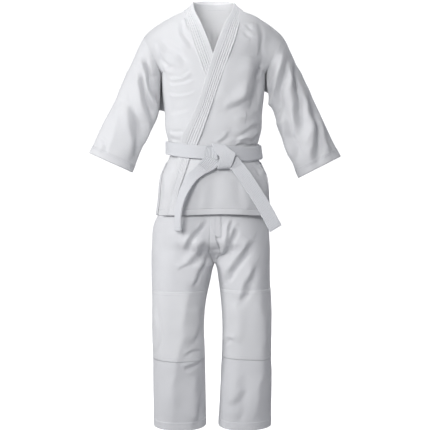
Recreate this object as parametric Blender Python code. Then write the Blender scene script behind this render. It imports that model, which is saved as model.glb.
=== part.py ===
"""A wrap-front martial arts uniform, laid out as it is worn: jacket, knotted belt and trousers.

The frame is the wearer's: +Z is up, -Y is the front and +X is the wearer's left. The origin is the
middle of the waist at the height of the belt. Each cloth piece is a thin closed sheet, and sheets
that are sewn together stop a seam's width apart. Pieces that a joint divides (the sleeve at its
armhole, the skirt under the belt, each trouser leg below the crotch, the belt's ends under the
knot) are separate sheets on either side of it.
"""

import math

import bmesh
import bpy
import numpy as np

# Cloth and seams.
CLOTH = 0.0025
BAND = 0.006
SEAM = 0.0008
ROUNDNESS = 2.3
HIP_ROUNDNESS = 3.2

# Heights above the waist.
SHOULDER_Z = 0.465
UNDERARM_Z = 0.250
UPPER_BOTTOM_Z = -0.036
SKIRT_TOP_Z = -0.042
HEM_Z = -0.198
WAISTBAND_TOP_Z = 0.030
WAISTBAND_BOTTOM_Z = -0.010
CROTCH_Z = -0.365
HIP_BOTTOM_Z = -0.378
LEG_TOP_Z = -0.362
TROUSER_HEM_Z = -0.862
TROUSER_END_Z = -0.882

# Jacket: height, half width, half depth of the body from the belt to the underarm.
JACKET = [
    (-0.060, 0.158, 0.114),
    (0.000, 0.149, 0.108),
    (0.120, 0.155, 0.118),
    (0.200, 0.164, 0.124),
    (0.250, 0.166, 0.126),
]
SKIRT = [(-0.040, 0.165, 0.126), (-0.080, 0.173, 0.130), (-0.200, 0.184, 0.135)]
NECK_HALF_WIDTH = 0.088
NECK_BACK_RISE = 0.58

# Front edges: height, distance across the centre line of the band's neck side and of its far side.
BAND_INNER = [
    (-0.060, -0.120),
    (-0.030, -0.111),
    (0.038, -0.097),
    (0.134, -0.053),
    (0.326, 0.008),
    (0.422, 0.046),
]
BAND_OUTER = [
    (-0.060, -0.079),
    (-0.030, -0.070),
    (0.029, -0.043),
    (0.166, 0.005),
    (0.326, 0.062),
    (0.428, 0.091),
]
SKIRT_BAND_INNER = [(-0.042, -0.115), (-0.200, -0.151)]
SKIRT_BAND_OUTER = [(-0.042, -0.077), (-0.200, -0.120)]
COLLAR_TOP_Z = 0.483
COLLAR_SEAM_Z = 0.450

# Sleeves seen from the front: distance out and height of the outer and of the inner edge.
ARMHOLE_DEPTH = 0.058
SLEEVE_OUTER = {
    "left": [(0.225, 0.372), (0.243, 0.330), (0.290, 0.224), (0.350, 0.105), (0.405, -0.010)],
    "right": [(0.225, 0.372), (0.243, 0.330), (0.288, 0.224), (0.345, 0.108), (0.395, 0.003)],
}
SLEEVE_INNER = {
    "left": [(0.166, 0.250), (0.174, 0.222), (0.191, 0.165), (0.222, 0.045), (0.270, -0.077)],
    "right": [(0.166, 0.250), (0.172, 0.222), (0.184, 0.165), (0.215, 0.050), (0.258, -0.058)],
}
SLEEVE_DEPTH = [0.058, 0.060, 0.056, 0.050, 0.046]
SLEEVE_STATIONS = [0.0, 0.12, 0.40, 0.70, 1.0]
SLEEVE_HEM = 0.94
GUSSET_REACH = 0.36
GUSSET_ANGLE = math.radians(38)

# Trousers: height, half width, half depth and roundness of the hips about their own centre line.
TROUSER_CENTRES = [(-0.05, 0.0), (-0.20, -0.008)]
GUSSET_CENTRE = -0.0015
HIPS = [
    (0.030, 0.134, 0.093, ROUNDNESS),
    (-0.060, 0.142, 0.100, ROUNDNESS),
    (-0.120, 0.154, 0.108, ROUNDNESS),
    (-0.195, 0.168, 0.115, ROUNDNESS),
    (-0.230, 0.182, 0.122, 2.4),
    (-0.280, 0.187, 0.125, 2.8),
    (-0.380, 0.189, 0.126, HIP_ROUNDNESS),
]
# Legs: height, distance of the inner and of the outer edge from the centre line, half depth.
LEGS = {
    "left": [
        (-0.362, 0.006, 0.167, 0.105),
        (-0.385, 0.008, 0.171, 0.109),
        (-0.430, 0.014, 0.179, 0.116),
        (-0.500, 0.024, 0.182, 0.112),
        (-0.666, 0.027, 0.184, 0.098),
        (-0.882, 0.018, 0.182, 0.084),
    ],
    "right": [
        (-0.362, 0.009, 0.183, 0.105),
        (-0.385, 0.011, 0.187, 0.109),
        (-0.430, 0.013, 0.196, 0.116),
        (-0.500, 0.024, 0.195, 0.112),
        (-0.666, 0.027, 0.194, 0.098),
        (-0.882, 0.024, 0.188, 0.084),
    ],
}
KNEE_TOP_Z = -0.437
KNEE_BOTTOM_Z = -0.662
KNEE_WRAP = math.radians(84)
SKIRT_VENT = math.pi / 2 - 0.03
PATCH_LIFT = 0.0050

# Belt.
BELT_WIDTH = 0.042
BELT_THICK = 0.004
KNOT_X = 0.020
KNOT_Z = -0.018
TAIL_TOP_Z = -0.064
KNOT_END_ROOM = 0.026
LEFT_TAIL_ACROSS = (0.86, 0.0, 0.51)
RIGHT_TAIL_ACROSS = (0.92, 0.0, -0.38)
RIGHT_TIP_ACROSS = (0.75, -0.45, -0.48)

WHITE = (0.86, 0.87, 0.89, 1.0)
BELT_WHITE = (0.82, 0.84, 0.88, 1.0)
SIDES = {"left": 1.0, "right": -1.0}


def clear_scene():
    for item in list(bpy.data.objects):
        bpy.data.objects.remove(item, do_unlink=True)


def cloth_material(name, colour, roughness):
    material = bpy.data.materials.new(name)
    material.use_nodes = True
    shader = material.node_tree.nodes["Principled BSDF"]
    shader.inputs["Base Color"].default_value = colour
    shader.inputs["Roughness"].default_value = roughness
    shader.inputs["Metallic"].default_value = 0.0
    return material


def along(knots, place, column=1):
    """The value in one column of a short table, by straight lines between its first-column places."""
    table = sorted(knots)
    return float(np.interp(place, [row[0] for row in table], [row[column] for row in table]))


def unit(vector):
    return vector / max(np.linalg.norm(vector), 1e-9)


def ring_columns(start, end, count):
    return np.linspace(start, end, count + 1)


def grid_normals(points, closed):
    """Unit normals of a grid of points, from the differences between neighbours."""
    if closed:
        across = np.roll(points, -1, axis=1) - np.roll(points, 1, axis=1)
    else:
        across = np.gradient(points, axis=1)
    up = np.gradient(points, axis=0)
    normals = np.cross(across, up)
    lengths = np.linalg.norm(normals, axis=2, keepdims=True)
    return normals / np.maximum(lengths, 1e-12)


def sheet(name, points, thickness, closed=False, colour=WHITE, owner=None):
    """A closed sheet whose outer face is the grid of points and whose inner face is one thickness in.

    Rows of the grid run upwards. Its columns run anticlockwise seen from above, so that the normals
    point away from the wearer. A closed grid joins its last column to its first.
    """
    points = np.asarray(points, dtype=float)
    inner = points - thickness * grid_normals(points, closed)
    rows, columns = points.shape[:2]
    mesh = bmesh.new()
    outer_verts = [[mesh.verts.new(p) for p in row] for row in points]
    inner_verts = [[mesh.verts.new(p) for p in row] for row in inner]
    spans = columns if closed else columns - 1
    for i in range(rows - 1):
        for j in range(spans):
            k = (j + 1) % columns
            mesh.faces.new((outer_verts[i][j], outer_verts[i][k], outer_verts[i + 1][k], outer_verts[i + 1][j]))
            mesh.faces.new((inner_verts[i][j], inner_verts[i + 1][j], inner_verts[i + 1][k], inner_verts[i][k]))
    for j in range(spans):
        k = (j + 1) % columns
        mesh.faces.new((outer_verts[0][j], inner_verts[0][j], inner_verts[0][k], outer_verts[0][k]))
        mesh.faces.new((outer_verts[-1][k], inner_verts[-1][k], inner_verts[-1][j], outer_verts[-1][j]))
    if not closed:
        for i in range(rows - 1):
            mesh.faces.new((outer_verts[i][0], outer_verts[i + 1][0], inner_verts[i + 1][0], inner_verts[i][0]))
            mesh.faces.new((outer_verts[i][-1], inner_verts[i][-1], inner_verts[i + 1][-1], outer_verts[i + 1][-1]))
    bmesh.ops.recalc_face_normals(mesh, faces=mesh.faces)
    bmesh.ops.triangulate(mesh, faces=mesh.faces)
    data = bpy.data.meshes.new(name)
    mesh.to_mesh(data)
    mesh.free()
    return place_object(name, data, colour, owner)


def place_object(name, data, colour, owner):
    """An object in the scene, with its origin moved to its owner's where it has one."""
    data.materials.append(cloth_material(name, colour, 0.9))
    data.shade_smooth()
    data.set_sharp_from_angle(angle=math.radians(50))
    item = bpy.data.objects.new(name, data)
    bpy.context.scene.collection.objects.link(item)
    if owner is not None:
        item.parent = owner
        item.matrix_parent_inverse = owner.matrix_basis.inverted()
    return item


def joint_empty(name, place):
    empty = bpy.data.objects.new(name, None)
    empty.location = place
    bpy.context.scene.collection.objects.link(empty)
    bpy.context.view_layer.update()
    return empty


# ------------------------------------------------------------------------------ jacket body

def body_row(level, back):
    """One row of the jacket body: middle height, half depth, and the far end's x, y and z.

    level runs from 0 at UPPER_BOTTOM_Z to 1 at the underarm, and on to 2 over the shoulder, where
    the row's far end climbs the armhole.
    """
    if level <= 1.0:
        z = UPPER_BOTTOM_Z + (UNDERARM_Z - UPPER_BOTTOM_Z) * level
        return z, along(JACKET, z, 2), along(JACKET, z, 1), 0.0, z
    climb = level - 1.0
    rise = math.sin(climb * math.pi / 2) ** (2 / 2.5)
    fall = max(math.cos(climb * math.pi / 2), 0.0) ** (2 / 2.5)
    outer = np.array(SLEEVE_OUTER["left"][0])
    inner = np.array(SLEEVE_INNER["left"][0])
    turn = math.pi * climb
    x, z = (outer + inner) / 2 - (outer - inner) / 2 * math.cos(turn)
    depth = ARMHOLE_DEPTH * math.sin(turn)
    middle = UNDERARM_Z + (SHOULDER_Z - UNDERARM_Z) * rise
    return middle, along(JACKET, UNDERARM_Z, 2) * fall, x, depth, z


def body_point(across, level, back=False, lift=0.0):
    """A point of the jacket body. across is the distance from the centre line over the row's half width."""
    middle, depth, far_x, far_depth, far_z = body_row(level, back)
    share = min(abs(across), 1.0)
    swell = max(1.0 - share ** ROUNDNESS, 0.0) ** (1 / ROUNDNESS)
    y = far_depth + (depth - far_depth) * swell + lift
    z = middle + (far_z - middle) * share ** 2
    return np.array([across * far_x, y if back else -y, z])


def level_at(x, z):
    """The level of the front row that passes through height z at distance x from the centre line."""
    low, high = 0.0, 2.0
    for _ in range(40):
        level = (low + high) / 2
        far_x = body_row(level, False)[2]
        if body_point(x / far_x, level)[2] < z:
            low = level
        else:
            high = level
    return (low + high) / 2


def chest_point(x, z, lift=0.0):
    level = level_at(abs(x), z)
    return body_point(x / body_row(level, False)[2], level, lift=lift)


def share_to_angle(share):
    return math.copysign(math.asin(min(abs(share), 1.0) ** (ROUNDNESS / 2)), share)


def angle_to_share(angle):
    return math.copysign(abs(math.sin(angle)) ** (2 / ROUNDNESS), angle)


SIDE_ANGLE = math.pi / 2 - 0.012


def over_lift(share):
    """How far the left front stands off, to lie over the right front: none at its side seam."""
    return 0.0075 * min(1.0, max(0.0, (0.93 - share) / 0.25))


def front_panel(name, side):
    """A jacket front, from its band's far edge to the side seam and armhole."""
    sign = SIDES[side]
    rows = []
    for level in np.concatenate([np.linspace(0, 1, 6), np.linspace(1.16, 1.985, 6)]):
        far_x = body_row(level, False)[2]
        start_x = along(BAND_OUTER, body_row(level, False)[0])
        if level > 1.6:
            start_x = NECK_HALF_WIDTH + 0.004
        start_x += 3 * SEAM
        points = []
        for angle in ring_columns(share_to_angle(start_x / far_x), SIDE_ANGLE, 7):
            share = angle_to_share(angle)
            lift = over_lift(share) if side == "left" and level < 1.9 else 0.0
            point = body_point(share, level, lift=lift)
            point[0] *= sign
            points.append(point)
        rows.append(points if side == "left" else points[::-1])
    return sheet(name, rows, CLOTH)


def back_panel(name, side):
    """Half of the jacket back, from the centre-back seam to the side seam and armhole."""
    sign = SIDES[side]
    rows = []
    for step in np.linspace(0, 1, 11):
        points = []
        for angle in ring_columns(0.008, SIDE_ANGLE, 7):
            share = angle_to_share(angle)
            reach = min(share * 0.225 / NECK_HALF_WIDTH, 1.0)
            top = 1.0 + NECK_BACK_RISE + (0.985 - NECK_BACK_RISE) * reach ** 3
            point = body_point(share, step * top, back=True)
            point[0] *= sign
            points.append(point)
        rows.append(points[::-1] if side == "left" else points)
    return sheet(name, rows, CLOTH)


def yoke_lining(name):
    """The lining across the inside of the back below the collar."""
    rows = []
    for level in (1.34, 1.42, 1.52):
        points = [
            body_point(angle_to_share(angle), level, back=True, lift=-0.007)
            for angle in ring_columns(math.radians(32), math.radians(-32), 6)
        ]
        rows.append(points)
    return sheet(name, rows, 0.0010)


def band_stations(side):
    """Edge points of a jacket band from the belt, up the chest, round the neck to the centre back."""
    sign = SIDES[side]
    stations = []
    for z in (-0.020, 0.020, 0.080, 0.150, 0.220, 0.290, 0.350, 0.400):
        lift = 0.0105 if side == "left" else 0.0018
        lift *= min(1.0, (0.46 - z) / 0.12)
        inner_x = along(BAND_INNER, z)
        outer_x = along(BAND_OUTER, z - 0.012)
        stations.append((chest_point(outer_x, z - 0.012, lift), chest_point(inner_x, z, lift)))
    stations.append((np.array([0.0915, -0.048, 0.431]), np.array([0.055, -0.062, 0.446])))
    stations.append((np.array([0.0905, -0.012, 0.447]), np.array([0.062, -0.020, 0.474])))
    for angle in (25, 55, 88.6):
        turn = math.radians(angle)
        outer = np.array([0.0885 * math.cos(turn), 0.0815 * math.sin(turn), COLLAR_SEAM_Z])
        inner = np.array([0.066 * math.cos(turn), 0.0600 * math.sin(turn), COLLAR_TOP_Z])
        stations.append((outer, inner))
    return [(point * [sign, 1, 1], other * [sign, 1, 1]) for point, other in stations]


def jacket_band(name, side):
    rows = []
    for outer, inner in band_stations(side):
        points = [outer + (inner - outer) * share for share in (0.0, 0.5, 1.0)]
        rows.append(points[::-1] if side == "left" else points)
    return sheet(name, rows, BAND)


# ------------------------------------------------------------------------------ sleeves

def sleeve_point(side, place, turn):
    """A point of a sleeve. place runs from the armhole to the cuff; turn runs from the underarm
    over the front to the shoulder and down the back."""
    ends = []
    for table in (SLEEVE_OUTER[side], SLEEVE_INNER[side]):
        xs = [row[0] for row in table]
        zs = [row[1] for row in table]
        ends.append(np.array([np.interp(place, SLEEVE_STATIONS, xs), np.interp(place, SLEEVE_STATIONS, zs)]))
    outer, inner = ends
    depth = float(np.interp(place, SLEEVE_STATIONS, SLEEVE_DEPTH))
    x, z = (outer + inner) / 2 - (outer - inner) / 2 * math.cos(turn)
    return np.array([SIDES[side] * x, -depth * math.sin(turn), z])


def sleeve_sheet(name, side, places, first_turn, last_turn, columns, thickness, owner, closed=False):
    rows = []
    for place in places:
        start = first_turn(place)
        end = last_turn(place)
        turns = np.linspace(start, end, columns + 1)
        if closed:
            turns = turns[:-1]
        points = [sleeve_point(side, place, turn) for turn in turns]
        rows.append(points if side == "left" else points[::-1])
    return sheet(name, rows[::-1], thickness, closed, owner=owner)


def gusset_half_angle(place):
    return GUSSET_ANGLE * max(0.0, 1 - place / GUSSET_REACH)


def sleeve_pieces(side, owner):
    slit = 0.010
    places = [0.012, 0.12, 0.24, 0.36, 0.55, 0.75, SLEEVE_HEM]
    sleeve_sheet(
        f"sleeve_{side}", side, places,
        lambda place: gusset_half_angle(place) + slit,
        lambda place: 2 * math.pi - gusset_half_angle(place) - slit,
        14, CLOTH, owner,
    )
    sleeve_sheet(
        f"underarm_gusset_{side}", side, [0.012, 0.12, 0.24],
        lambda place: -gusset_half_angle(place) + 2 * slit,
        lambda place: gusset_half_angle(place) - 2 * slit,
        3, CLOTH, owner,
    )
    sleeve_sheet(
        f"sleeve_hem_{side}", side, [SLEEVE_HEM + 0.004, 1.0],
        lambda place: 0.0,
        lambda place: 2 * math.pi,
        16, 0.004, owner, closed=True,
    )


# ------------------------------------------------------------------------------ rings: skirt, hips, belt

def ring_point(table, z, angle, centre=0.0, lift=0.0):
    """A point of a rounded ring. The angle is 0 at the front and grows towards the wearer's left."""
    width = along(table, z, 1) + lift
    depth = along(table, z, 2) + lift
    power = 2 / ring_roundness(table, z)
    across = math.copysign(abs(math.sin(angle)) ** power, math.sin(angle))
    forward = math.copysign(abs(math.cos(angle)) ** power, math.cos(angle))
    return np.array([centre + width * across, -depth * forward, z])


def ring_roundness(table, z):
    return along(table, z, 3) if len(table[0]) > 3 else ROUNDNESS


def ring_angle(table, z, x):
    """The angle of the ring's front point that is a distance x to the left of its middle."""
    share = x / along(table, z, 1)
    return math.copysign(math.asin(abs(share) ** (ring_roundness(table, z) / 2)), share)


def front_seam(table, z):
    """The angle that half a seam takes up at the middle of the front or back."""
    return ring_angle(table, z, SEAM)


def side_seam(table, z):
    """The angle that half a seam takes up at a side."""
    return math.asin((SEAM / along(table, z, 2)) ** (ring_roundness(table, z) / 2))


def ring_sheet(name, table, heights, start, end, columns, thickness, centre=0.0, lift=None, owner=None):
    """A panel of a ring between two angles, each a number or a function of height."""
    rows = []
    for z in heights:
        first = start(z) if callable(start) else start
        last = end(z) if callable(end) else end
        points = []
        for angle in ring_columns(first, last, columns):
            raised = lift(angle) if lift else 0.0
            points.append(ring_point(table, z, angle, centre(z) if callable(centre) else centre, raised))
        rows.append(points)
    return sheet(name, rows, thickness, owner=owner)


def lap_lift(angle):
    """How far the left skirt front stands off, to lie over the right one: none at its vent."""
    return 0.0075 * min(1.0, max(0.0, (1.45 - angle) / 0.5))


def skirt_pieces(front_owner, back_owner):
    """The jacket below the belt: two lapped fronts with their bands, a back, and patches at the vents."""
    heights = np.linspace(HEM_Z, SKIRT_TOP_Z, 4)
    vent = SKIRT_VENT
    seam_angle = 0.006
    ring_sheet(
        "skirt_front_left", SKIRT, heights,
        lambda z: ring_angle(SKIRT, z, along(SKIRT_BAND_OUTER, z)) + seam_angle,
        vent, 9, CLOTH, owner=front_owner,
        lift=lap_lift,
    )
    ring_sheet(
        "skirt_front_right", SKIRT, heights,
        -vent,
        lambda z: ring_angle(SKIRT, z, -along(SKIRT_BAND_OUTER, z)) - seam_angle,
        9, CLOTH, owner=front_owner,
    )
    ring_sheet(
        "skirt_band_left", SKIRT, heights,
        lambda z: ring_angle(SKIRT, z, along(SKIRT_BAND_INNER, z)),
        lambda z: ring_angle(SKIRT, z, along(SKIRT_BAND_OUTER, z)) - seam_angle,
        2, BAND, owner=front_owner, lift=lambda angle: 0.0110,
    )
    ring_sheet(
        "skirt_band_right", SKIRT, heights,
        lambda z: ring_angle(SKIRT, z, -along(SKIRT_BAND_OUTER, z)) + seam_angle,
        lambda z: ring_angle(SKIRT, z, -along(SKIRT_BAND_INNER, z)),
        2, BAND, owner=front_owner, lift=lambda angle: 0.0018,
    )
    ring_sheet(
        "skirt_back", SKIRT, heights, math.pi - vent, math.pi + vent, 16, CLOTH, owner=back_owner,
    )
    patch_heights = [HEM_Z + 0.004, SKIRT_TOP_Z - 0.004]
    patches = {
        "vent_patch_front_left": (1.30, vent - 0.01, front_owner),
        "vent_patch_front_right": (-vent + 0.01, -1.30, front_owner),
        "vent_patch_back_left": (math.pi - vent + 0.01, math.pi - 1.30, back_owner),
        "vent_patch_back_right": (math.pi + 1.30, math.pi + vent - 0.01, back_owner),
    }
    for name, (first, last, owner) in patches.items():
        ring_sheet(
            name, SKIRT, patch_heights, first, last, 2, 0.0015, owner=owner,
            lift=lambda angle: PATCH_LIFT + (lap_lift(angle) if 0 < angle < vent else 0.0),
        )


def trouser_centre(z):
    return along(TROUSER_CENTRES, z)


def hip_quarter(name, quarter):
    """A quarter of the hips, numbered from the front left anticlockwise seen from above."""
    heights = [HIP_BOTTOM_Z, -0.330, -0.280, -0.230, -0.195, -0.120, -0.060, WAISTBAND_BOTTOM_Z - SEAM]
    seams = (front_seam, side_seam)
    ring_sheet(
        name, HIPS, heights,
        lambda z: quarter * math.pi / 2 + seams[quarter % 2](HIPS, z),
        lambda z: (quarter + 1) * math.pi / 2 - seams[(quarter + 1) % 2](HIPS, z),
        7, CLOTH, centre=trouser_centre,
    )


def waistband(name):
    """The casing round the top of the trousers, a closed ring round the wearer."""
    rows = []
    for z in (WAISTBAND_BOTTOM_Z, WAISTBAND_TOP_Z):
        turns = np.linspace(0, 2 * math.pi, 28, endpoint=False)
        rows.append([ring_point(HIPS, z, turn, trouser_centre(z)) for turn in turns])
    sheet(name, rows, 0.004, closed=True)


def drawstring_loop(name, x):
    """A flat cloth loop on the waistband front, that a drawstring is tied through."""
    rows = []
    for z in (WAISTBAND_BOTTOM_Z + 0.006, WAISTBAND_TOP_Z - 0.006):
        rows.append([
            ring_point(HIPS, z, ring_angle(HIPS, z, x + step), trouser_centre(z), 0.0050)
            for step in (-0.005, 0.005)
        ])
    sheet(name, rows, 0.0015)


def crotch_gusset(name):
    """The strip of the lozenge sewn in between the legs, from the front under the crotch to the back."""
    rows = []
    for turn in np.linspace(-1.0, 1.0, 9):
        half = 0.0035 + 0.0020 * (1 - abs(turn))
        y = 0.112 * math.sin(turn * math.pi / 2)
        z = CROTCH_Z + 0.030 * (1 - math.cos(turn * math.pi / 2)) ** 1.5
        rows.append([np.array([GUSSET_CENTRE + shift * half, y, z]) for shift in (-1, 0, 1)])
    sheet(name, rows, CLOTH)


# ------------------------------------------------------------------------------ legs

def leg_point(side, z, turn, lift=0.0):
    """A point of a trouser leg. The turn is 0 at the front and grows towards the outer side."""
    inner = along(LEGS[side], z, 1) - lift
    outer = along(LEGS[side], z, 2) + lift
    depth = along(LEGS[side], z, 3) + lift
    across = math.copysign(abs(math.sin(turn)) ** (2 / ROUNDNESS), math.sin(turn))
    forward = math.copysign(abs(math.cos(turn)) ** (2 / ROUNDNESS), math.cos(turn))
    x = (inner + outer) / 2 + (outer - inner) / 2 * across
    return np.array([SIDES[side] * x, -depth * forward, z])


def leg_sheet(name, side, heights, first, last, columns, thickness, owner, lift=0.0, closed=False):
    rows = []
    for z in heights:
        turns = np.linspace(first, last, columns + 1)
        if closed:
            turns = turns[:-1]
        points = [leg_point(side, z, turn, lift) for turn in turns]
        rows.append(points if side == "left" else points[::-1])
    return sheet(name, rows, thickness, closed, owner=owner)


def leg_pieces(side, owner):
    quarter = math.pi / 2 - 0.010
    heights = [TROUSER_HEM_Z, -0.760, -0.666, -0.580, -0.500, -0.430, -0.385, LEG_TOP_Z]
    leg_sheet(f"leg_front_{side}", side, heights, -quarter, quarter, 8, CLOTH, owner)
    leg_sheet(f"leg_back_{side}", side, heights, math.pi - quarter, math.pi + quarter, 8, CLOTH, owner)
    knee_heights = [KNEE_BOTTOM_Z, -0.580, -0.500, KNEE_TOP_Z]
    leg_sheet(f"knee_patch_{side}", side, knee_heights, -KNEE_WRAP, KNEE_WRAP, 8, 0.0018, owner, lift=0.0036)
    leg_sheet(
        f"leg_hem_{side}", side, [TROUSER_END_Z, TROUSER_HEM_Z - SEAM],
        0.0, 2 * math.pi, 16, 0.004, owner, closed=True,
    )


# ------------------------------------------------------------------------------ belt

def belt_height(angle):
    """The belt dips at the front, where the knot pulls it down."""
    return 0.014 - 0.020 * max(0.0, math.cos(angle)) ** 2


def belt_ring(name, lift, start, end):
    rows = []
    for edge in (-BELT_WIDTH / 2, BELT_WIDTH / 2):
        points = []
        for angle in np.linspace(start, end, 25):
            z = belt_height(angle)
            point = ring_point(JACKET, z, angle, 0.0, lift + front_stack(angle))
            point[2] = z + edge
            points.append(point)
        rows.append(points)
    sheet(name, rows, BELT_THICK, colour=BELT_WHITE)


def front_stack(angle):
    """Extra standing-off of the belt where the lapped fronts and their bands lie under it."""
    return 0.0110 * max(0.0, math.cos(angle)) ** 0.5


def strap(name, path, first_across, last_across, width, owner=None):
    """A flat strap along a path, whose width turns from one direction at its start to another."""
    rows = []
    for share, point in zip(np.linspace(0, 1, len(path)), path):
        across = np.array(first_across) * (1 - share) + np.array(last_across) * share
        half = unit(across) * width / 2
        rows.append([np.array(point) - half, np.array(point) + half])
    return sheet(name, rows, BELT_THICK, colour=BELT_WHITE, owner=owner)


def belt_front():
    """How far forward the outer face of the belt is at the knot."""
    return -ring_point(JACKET, 0.0, 0.0, 0.0, 0.0165 + front_stack(0.0))[1]


def knot_pieces():
    """The knot: the end that is drawn up behind the wraps, the end that folds over it, and both ends."""
    face = belt_front()
    back = face + 0.0070
    knot_strand("knot_fold", KNOT_X - 0.030, KNOT_X + 0.008, back, 0.010, 0.029)
    knot_strand("knot_loop", KNOT_X + 0.010, KNOT_X + 0.046, back, 0.012, 0.024)
    stub_face = -face - 0.0060
    strap(
        "knot_end_left",
        [(0.064, stub_face, TAIL_TOP_Z + KNOT_END_ROOM), (0.048, stub_face, KNOT_Z - 0.002)],
        LEFT_TAIL_ACROSS, LEFT_TAIL_ACROSS, BELT_WIDTH * 0.8,
    )
    strap(
        "knot_end_right",
        [(-0.010, stub_face, TAIL_TOP_Z + KNOT_END_ROOM), (0.000, stub_face, KNOT_Z - 0.002)],
        RIGHT_TAIL_ACROSS, RIGHT_TAIL_ACROSS, BELT_WIDTH * 0.8,
    )


def knot_strand(name, first_x, last_x, back, bulge, half_height):
    """A strand of the knot that bows forward over the wraps, from under them to above them."""
    rows = []
    for turn in np.linspace(math.radians(-78), math.radians(78), 9):
        y = -back - bulge * math.cos(turn)
        z = KNOT_Z + 0.002 + half_height * math.sin(turn)
        rows.append([np.array([first_x, y, z]), np.array([last_x, y, z])])
    sheet(name, rows, BELT_THICK, colour=BELT_WHITE)


def tail_pieces(side, owner):
    """A hanging end of the belt, from just under the knot to its stitched tip."""
    face = belt_front() + 0.010
    if side == "left":
        top = np.array([0.078, -face, TAIL_TOP_Z])
        tip = np.array([0.192, -face, -0.244])
        tip_across, top_across = LEFT_TAIL_ACROSS, LEFT_TAIL_ACROSS
        bend = 0.0
    else:
        top = np.array([-0.018, -face, TAIL_TOP_Z])
        tip = np.array([-0.108, -face - 0.004, -0.244])
        tip_across, top_across = RIGHT_TIP_ACROSS, RIGHT_TAIL_ACROSS
        bend = -0.016
    path = []
    for share in np.linspace(1, 0, 7):
        point = top + (tip - top) * share
        point[0] += bend * math.sin(math.pi * share)
        path.append(point)
    strap(f"belt_tail_{side}", path, tip_across, top_across, BELT_WIDTH, owner)


def build():
    clear_scene()
    shoulder = SLEEVE_OUTER["left"][0]
    for side, sign in SIDES.items():
        front_panel(f"jacket_front_{side}", side)
        back_panel(f"jacket_back_{side}", side)
        jacket_band(f"jacket_band_{side}", side)
        sleeve_pieces(side, joint_empty(f"shoulder_{side}", (sign * shoulder[0], 0.0, shoulder[1])))
        leg_pieces(side, joint_empty(f"hip_{side}", (sign * 0.1, 0.006, -0.435)))
    yoke_lining("yoke_lining")
    front_hinge = joint_empty("skirt_front_hinge", (0.0, -0.112, -0.040))
    skirt_pieces(front_hinge, joint_empty("skirt_back_hinge", (0.0, 0.085, -0.040)))
    for quarter, name in enumerate(("front_left", "back_left", "back_right", "front_right")):
        hip_quarter(f"trouser_{name}", quarter)
    waistband("waistband")
    drawstring_loop("drawstring_loop", 0.0)
    crotch_gusset("crotch_gusset")
    belt_ring("belt_inner_wrap", 0.0075, math.radians(-184), math.radians(174))
    belt_ring("belt_outer_wrap", 0.0135, math.radians(-172), math.radians(186))
    knot_pieces()
    for side in SIDES:
        tail_pieces(side, joint_empty(f"tail_{side}_hinge", (0.0, -belt_front(), TAIL_TOP_Z)))


build()
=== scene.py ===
"""A martial arts uniform's looks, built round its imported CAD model: jacket, knotted belt, trousers."""
import math

import bmesh
import bpy
import numpy as np
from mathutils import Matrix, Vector


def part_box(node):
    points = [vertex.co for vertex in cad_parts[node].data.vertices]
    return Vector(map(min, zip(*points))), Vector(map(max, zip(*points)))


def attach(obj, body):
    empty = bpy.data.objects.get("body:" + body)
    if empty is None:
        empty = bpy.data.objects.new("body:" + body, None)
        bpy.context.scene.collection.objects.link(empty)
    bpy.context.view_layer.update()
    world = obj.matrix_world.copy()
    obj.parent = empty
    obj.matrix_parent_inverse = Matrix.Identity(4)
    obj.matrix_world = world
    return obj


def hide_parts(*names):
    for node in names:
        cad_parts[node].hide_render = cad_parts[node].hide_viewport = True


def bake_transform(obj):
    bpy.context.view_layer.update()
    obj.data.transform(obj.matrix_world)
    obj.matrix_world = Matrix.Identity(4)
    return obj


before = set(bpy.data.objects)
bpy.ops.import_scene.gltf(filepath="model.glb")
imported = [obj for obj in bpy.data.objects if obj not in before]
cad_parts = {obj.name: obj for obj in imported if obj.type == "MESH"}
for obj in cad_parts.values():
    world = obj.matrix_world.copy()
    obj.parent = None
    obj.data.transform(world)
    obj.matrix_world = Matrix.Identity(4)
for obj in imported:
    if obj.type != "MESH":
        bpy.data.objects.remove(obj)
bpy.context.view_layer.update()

# ---------------------------------------------------------------- numbers taken from the frame

# The floor is a little below the trousers' hems.
FLOOR_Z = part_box("leg_hem_left")[0].z - 0.022

# The exponent of the rounded rings of body, skirt and waist: 2 is an ellipse, more is squarer.
ROUND = 2.3
# The usual thickness of the cloth, and a factor on the height of every fold.
CLOTH = 0.0016
FOLD_DEPTH = 1.55
# The wearer's left is +X.
SIDE = {"left": 1.0, "right": -1.0}


# ---------------------------------------------------------------- small maths

def smooth(table, place, column=1):
    """One column of a short table, read by a smooth curve through its rows."""
    rows = sorted(table)
    x = np.array([row[0] for row in rows], float)
    y = np.array([row[column] for row in rows], float)
    slope = np.gradient(y, x)
    place = np.clip(np.asarray(place, float), x[0], x[-1])
    i = np.clip(np.searchsorted(x, place) - 1, 0, len(x) - 2)
    h = x[i + 1] - x[i]
    t = (place - x[i]) / h
    a = 2 * t**3 - 3 * t**2 + 1
    b = t**3 - 2 * t**2 + t
    c = -2 * t**3 + 3 * t**2
    d = t**3 - t**2
    return a * y[i] + b * h * slope[i] + c * y[i + 1] + d * h * slope[i + 1]


def ease(value, low, high):
    """0 below low, 1 above high, and a smooth step between."""
    t = np.clip((np.asarray(value, float) - low) / (high - low), 0, 1)
    return t * t * (3 - 2 * t)


def unit(vectors):
    """The vectors at length 1."""
    vectors = np.asarray(vectors, float)
    return vectors / np.maximum(np.linalg.norm(vectors, axis=-1, keepdims=True), 1e-12)


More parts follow.
